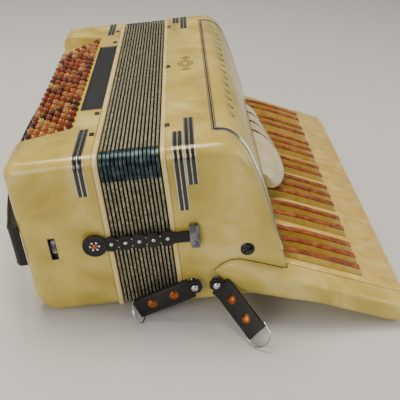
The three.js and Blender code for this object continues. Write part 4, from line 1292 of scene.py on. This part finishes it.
def unit_loop(y, shrink=0.0):
    out_s = height_at(UNIT_WIDTHS, y) - shrink
    low, high = 12.3 + shrink * 0.3, 31 - shrink
    curve = [(wall_s(low), low), (out_s - 1.5, low), (out_s, low + 1.5), (out_s - 0.6, 16.2)]
    curve += [(out_s * 0.76 - 1.5, 20.4), (out_s * 0.5 - 5, 25.2)]
    curve += [((wall_s(high) * 0.55 + (out_s * 0.5 - 5) * 0.45), 28.6), (wall_s(high), high)]
    return [(on_keys(s, h)[0], y, on_keys(s, h)[1]) for s, h in smooth_line(curve, 3)]


def shade_run(y0, y1, steps=8):
    inner = [(y0 + (y1 - y0) * k / steps, 0) for k in range(1, steps)]
    ends = [(y0 + 0.2, 1.6), (y0 + 0.9, 0.6), (y0 + 2.0, 0.1)]
    return ends + inner + [(y1 - 2.0, 0.1), (y1 - 0.9, 0.6), (y1 - 0.2, 1.6)]


sections = [(150.2, 1.2), (151.5, 0.4)] + [(y, 0) for y in (153, 156, 160, 166, 172, 181, 190, 199, 208, 216, 225, 237, 250, 265, 278)]
housing = loft("register_moulding", [unit_loop(y, k) for y, k in sections + [(279.6, 0.2), (280.8, 1.4)]])
settle(housing, "treble", IVORY, ["register_housing"], 50)
for i in range(3):
    y0 = 282.5 + i * 33
    lever = loft("register_key_%d" % (i + 1), [unit_loop(y, k) for y, k in shade_run(y0, y0 + 31.5)])
    settle(lever, "lever_%d" % (i + 1), IVORY, ["register_lever_%d" % (i + 1)], 50)

# %% [markdown]
# A black web fills the gap in front of each lever as painted shade, and a fine black wire paints the
# shade of a groove that runs on from it towards the near end, out from the cover and down over the
# moulding's side.

# %% Painted shade in the gaps and grooves of the register unit
gap_shades = []
for i in range(3):
    y0 = 281.15 + i * 33
    # Painted shade: a black web fills the gap between two levers.
    gap_shades.append(loft("register_web", [unit_loop(y0, 0.35), unit_loop(y0 + 1.2, 0.35)]))
    run = [(0, 21), (2.2, 19), (0.5, 17), (-4, 16), (-10, 15), (-17, 14), (-24, 13)]
    points = [v(*unit_loop(y0 + 0.6 + d)[row]) for d, row in run]
    # Painted shade: a black wire marks the shade in a groove.
    groove = wire("register_groove_%d" % (i + 1), points, 0.75)
    settle(groove, "lever_%d" % i if i else "treble", BLACK)
settle(join("register_webs", gap_shades), "treble", BLACK)

# %% [markdown]
# A small plain inlay of black lines decorates the front of the treble box.

# %% Front inlay
def lozenge(name, x, y, half_x, half_y, width):
    shape = along_z(name, [(x - half_x, y), (x, y - half_y), (x + half_x, y), (x, y + half_y)], DEPTH - 0.3, DEPTH + 0.35)
    hole = along_z("hole", [(x - half_x + width * 1.5, y), (x, y - half_y + width * 2), (x + half_x - width * 1.5, y), (x, y + half_y - width * 2)], DEPTH - 2, DEPTH + 2)
    cut(shape, hole)
    return shape


inlay = [lozenge("inlay", 92, 256, 11, 17, 0.8), lozenge("inlay", 92, 256, 6, 9.5, 0.7)]
inlay += [block("inlay_bar", (92 - w, 256 + y - 0.5, DEPTH - 0.3), (92 + w, 256 + y + 0.5, DEPTH + 0.35)) for w, y in ((7, 22), (4, 25), (7, -22), (4, -25))]
inlay = join("front_inlay", inlay)
settle(inlay, "treble", BLACK)

# %% [markdown]
# A pale floor, three soft lights and the camera. The main light hangs above, so the front of the
# instrument is brighter than its ends, and two weaker ones open up the sides.

# %% Floor, lights and camera
clear()
bpy.ops.mesh.primitive_plane_add(size=8, location=(0, 0, -0.0005))
floor = bpy.context.object
floor.name = "floor"
paper = bpy.data.materials.new("pale_floor")
paper.use_nodes = True
paper.node_tree.nodes["Principled BSDF"].inputs["Base Color"].default_value = linear("#d9d8d4")
paper.node_tree.nodes["Principled BSDF"].inputs["Roughness"].default_value = 0.85
floor.data.materials.append(paper)
world = bpy.data.worlds.new("studio")
world.use_nodes = True
world.node_tree.nodes["Background"].inputs["Color"].default_value = linear("#dfe3e8")
world.node_tree.nodes["Background"].inputs["Strength"].default_value = 0.32
bpy.context.scene.world = world


def lamp(name, place, aim, size, power, code):
    data = bpy.data.lights.new(name, "AREA")
    data.size, data.energy, data.color = size, power, linear(code)[:3]
    made = bpy.data.objects.new(name, data)
    bpy.context.scene.collection.objects.link(made)
    made.location = place
    made.rotation_euler = (Vector(aim) - Vector(place)).to_track_quat("-Z", "Y").to_euler()


lamp("key_light", (-0.35, 0.25, 1.7), (0, 0, 0.1), 0.9, 30, "#fff4e4")
lamp("fill_light", (-1.1, -1.7, 0.9), (0, 0, 0.05), 1.0, 16, "#fffaf0")
lamp("side_light", (1.6, -0.5, 0.9), (0, 0, 0.05), 1.0, 9, "#f2f5ff")

eye = bpy.data.cameras.new("camera")
eye.sensor_width, eye.lens = 36, 58.9
camera = bpy.data.objects.new("camera", eye)
bpy.context.scene.collection.objects.link(camera)
right, up, ahead = Vector((0.9947, -0.0356, -0.0969)), Vector((0.1016, 0.506, 0.8565)), Vector((-0.0185, 0.8618, -0.5069))
turn = Matrix((right, up, -ahead)).transposed().to_4x4()
camera.matrix_world = LIE @ Matrix.Translation(v(108.8, -572.7, 464.8)) @ turn
bpy.context.scene.camera = camera

# %% The end
clear()
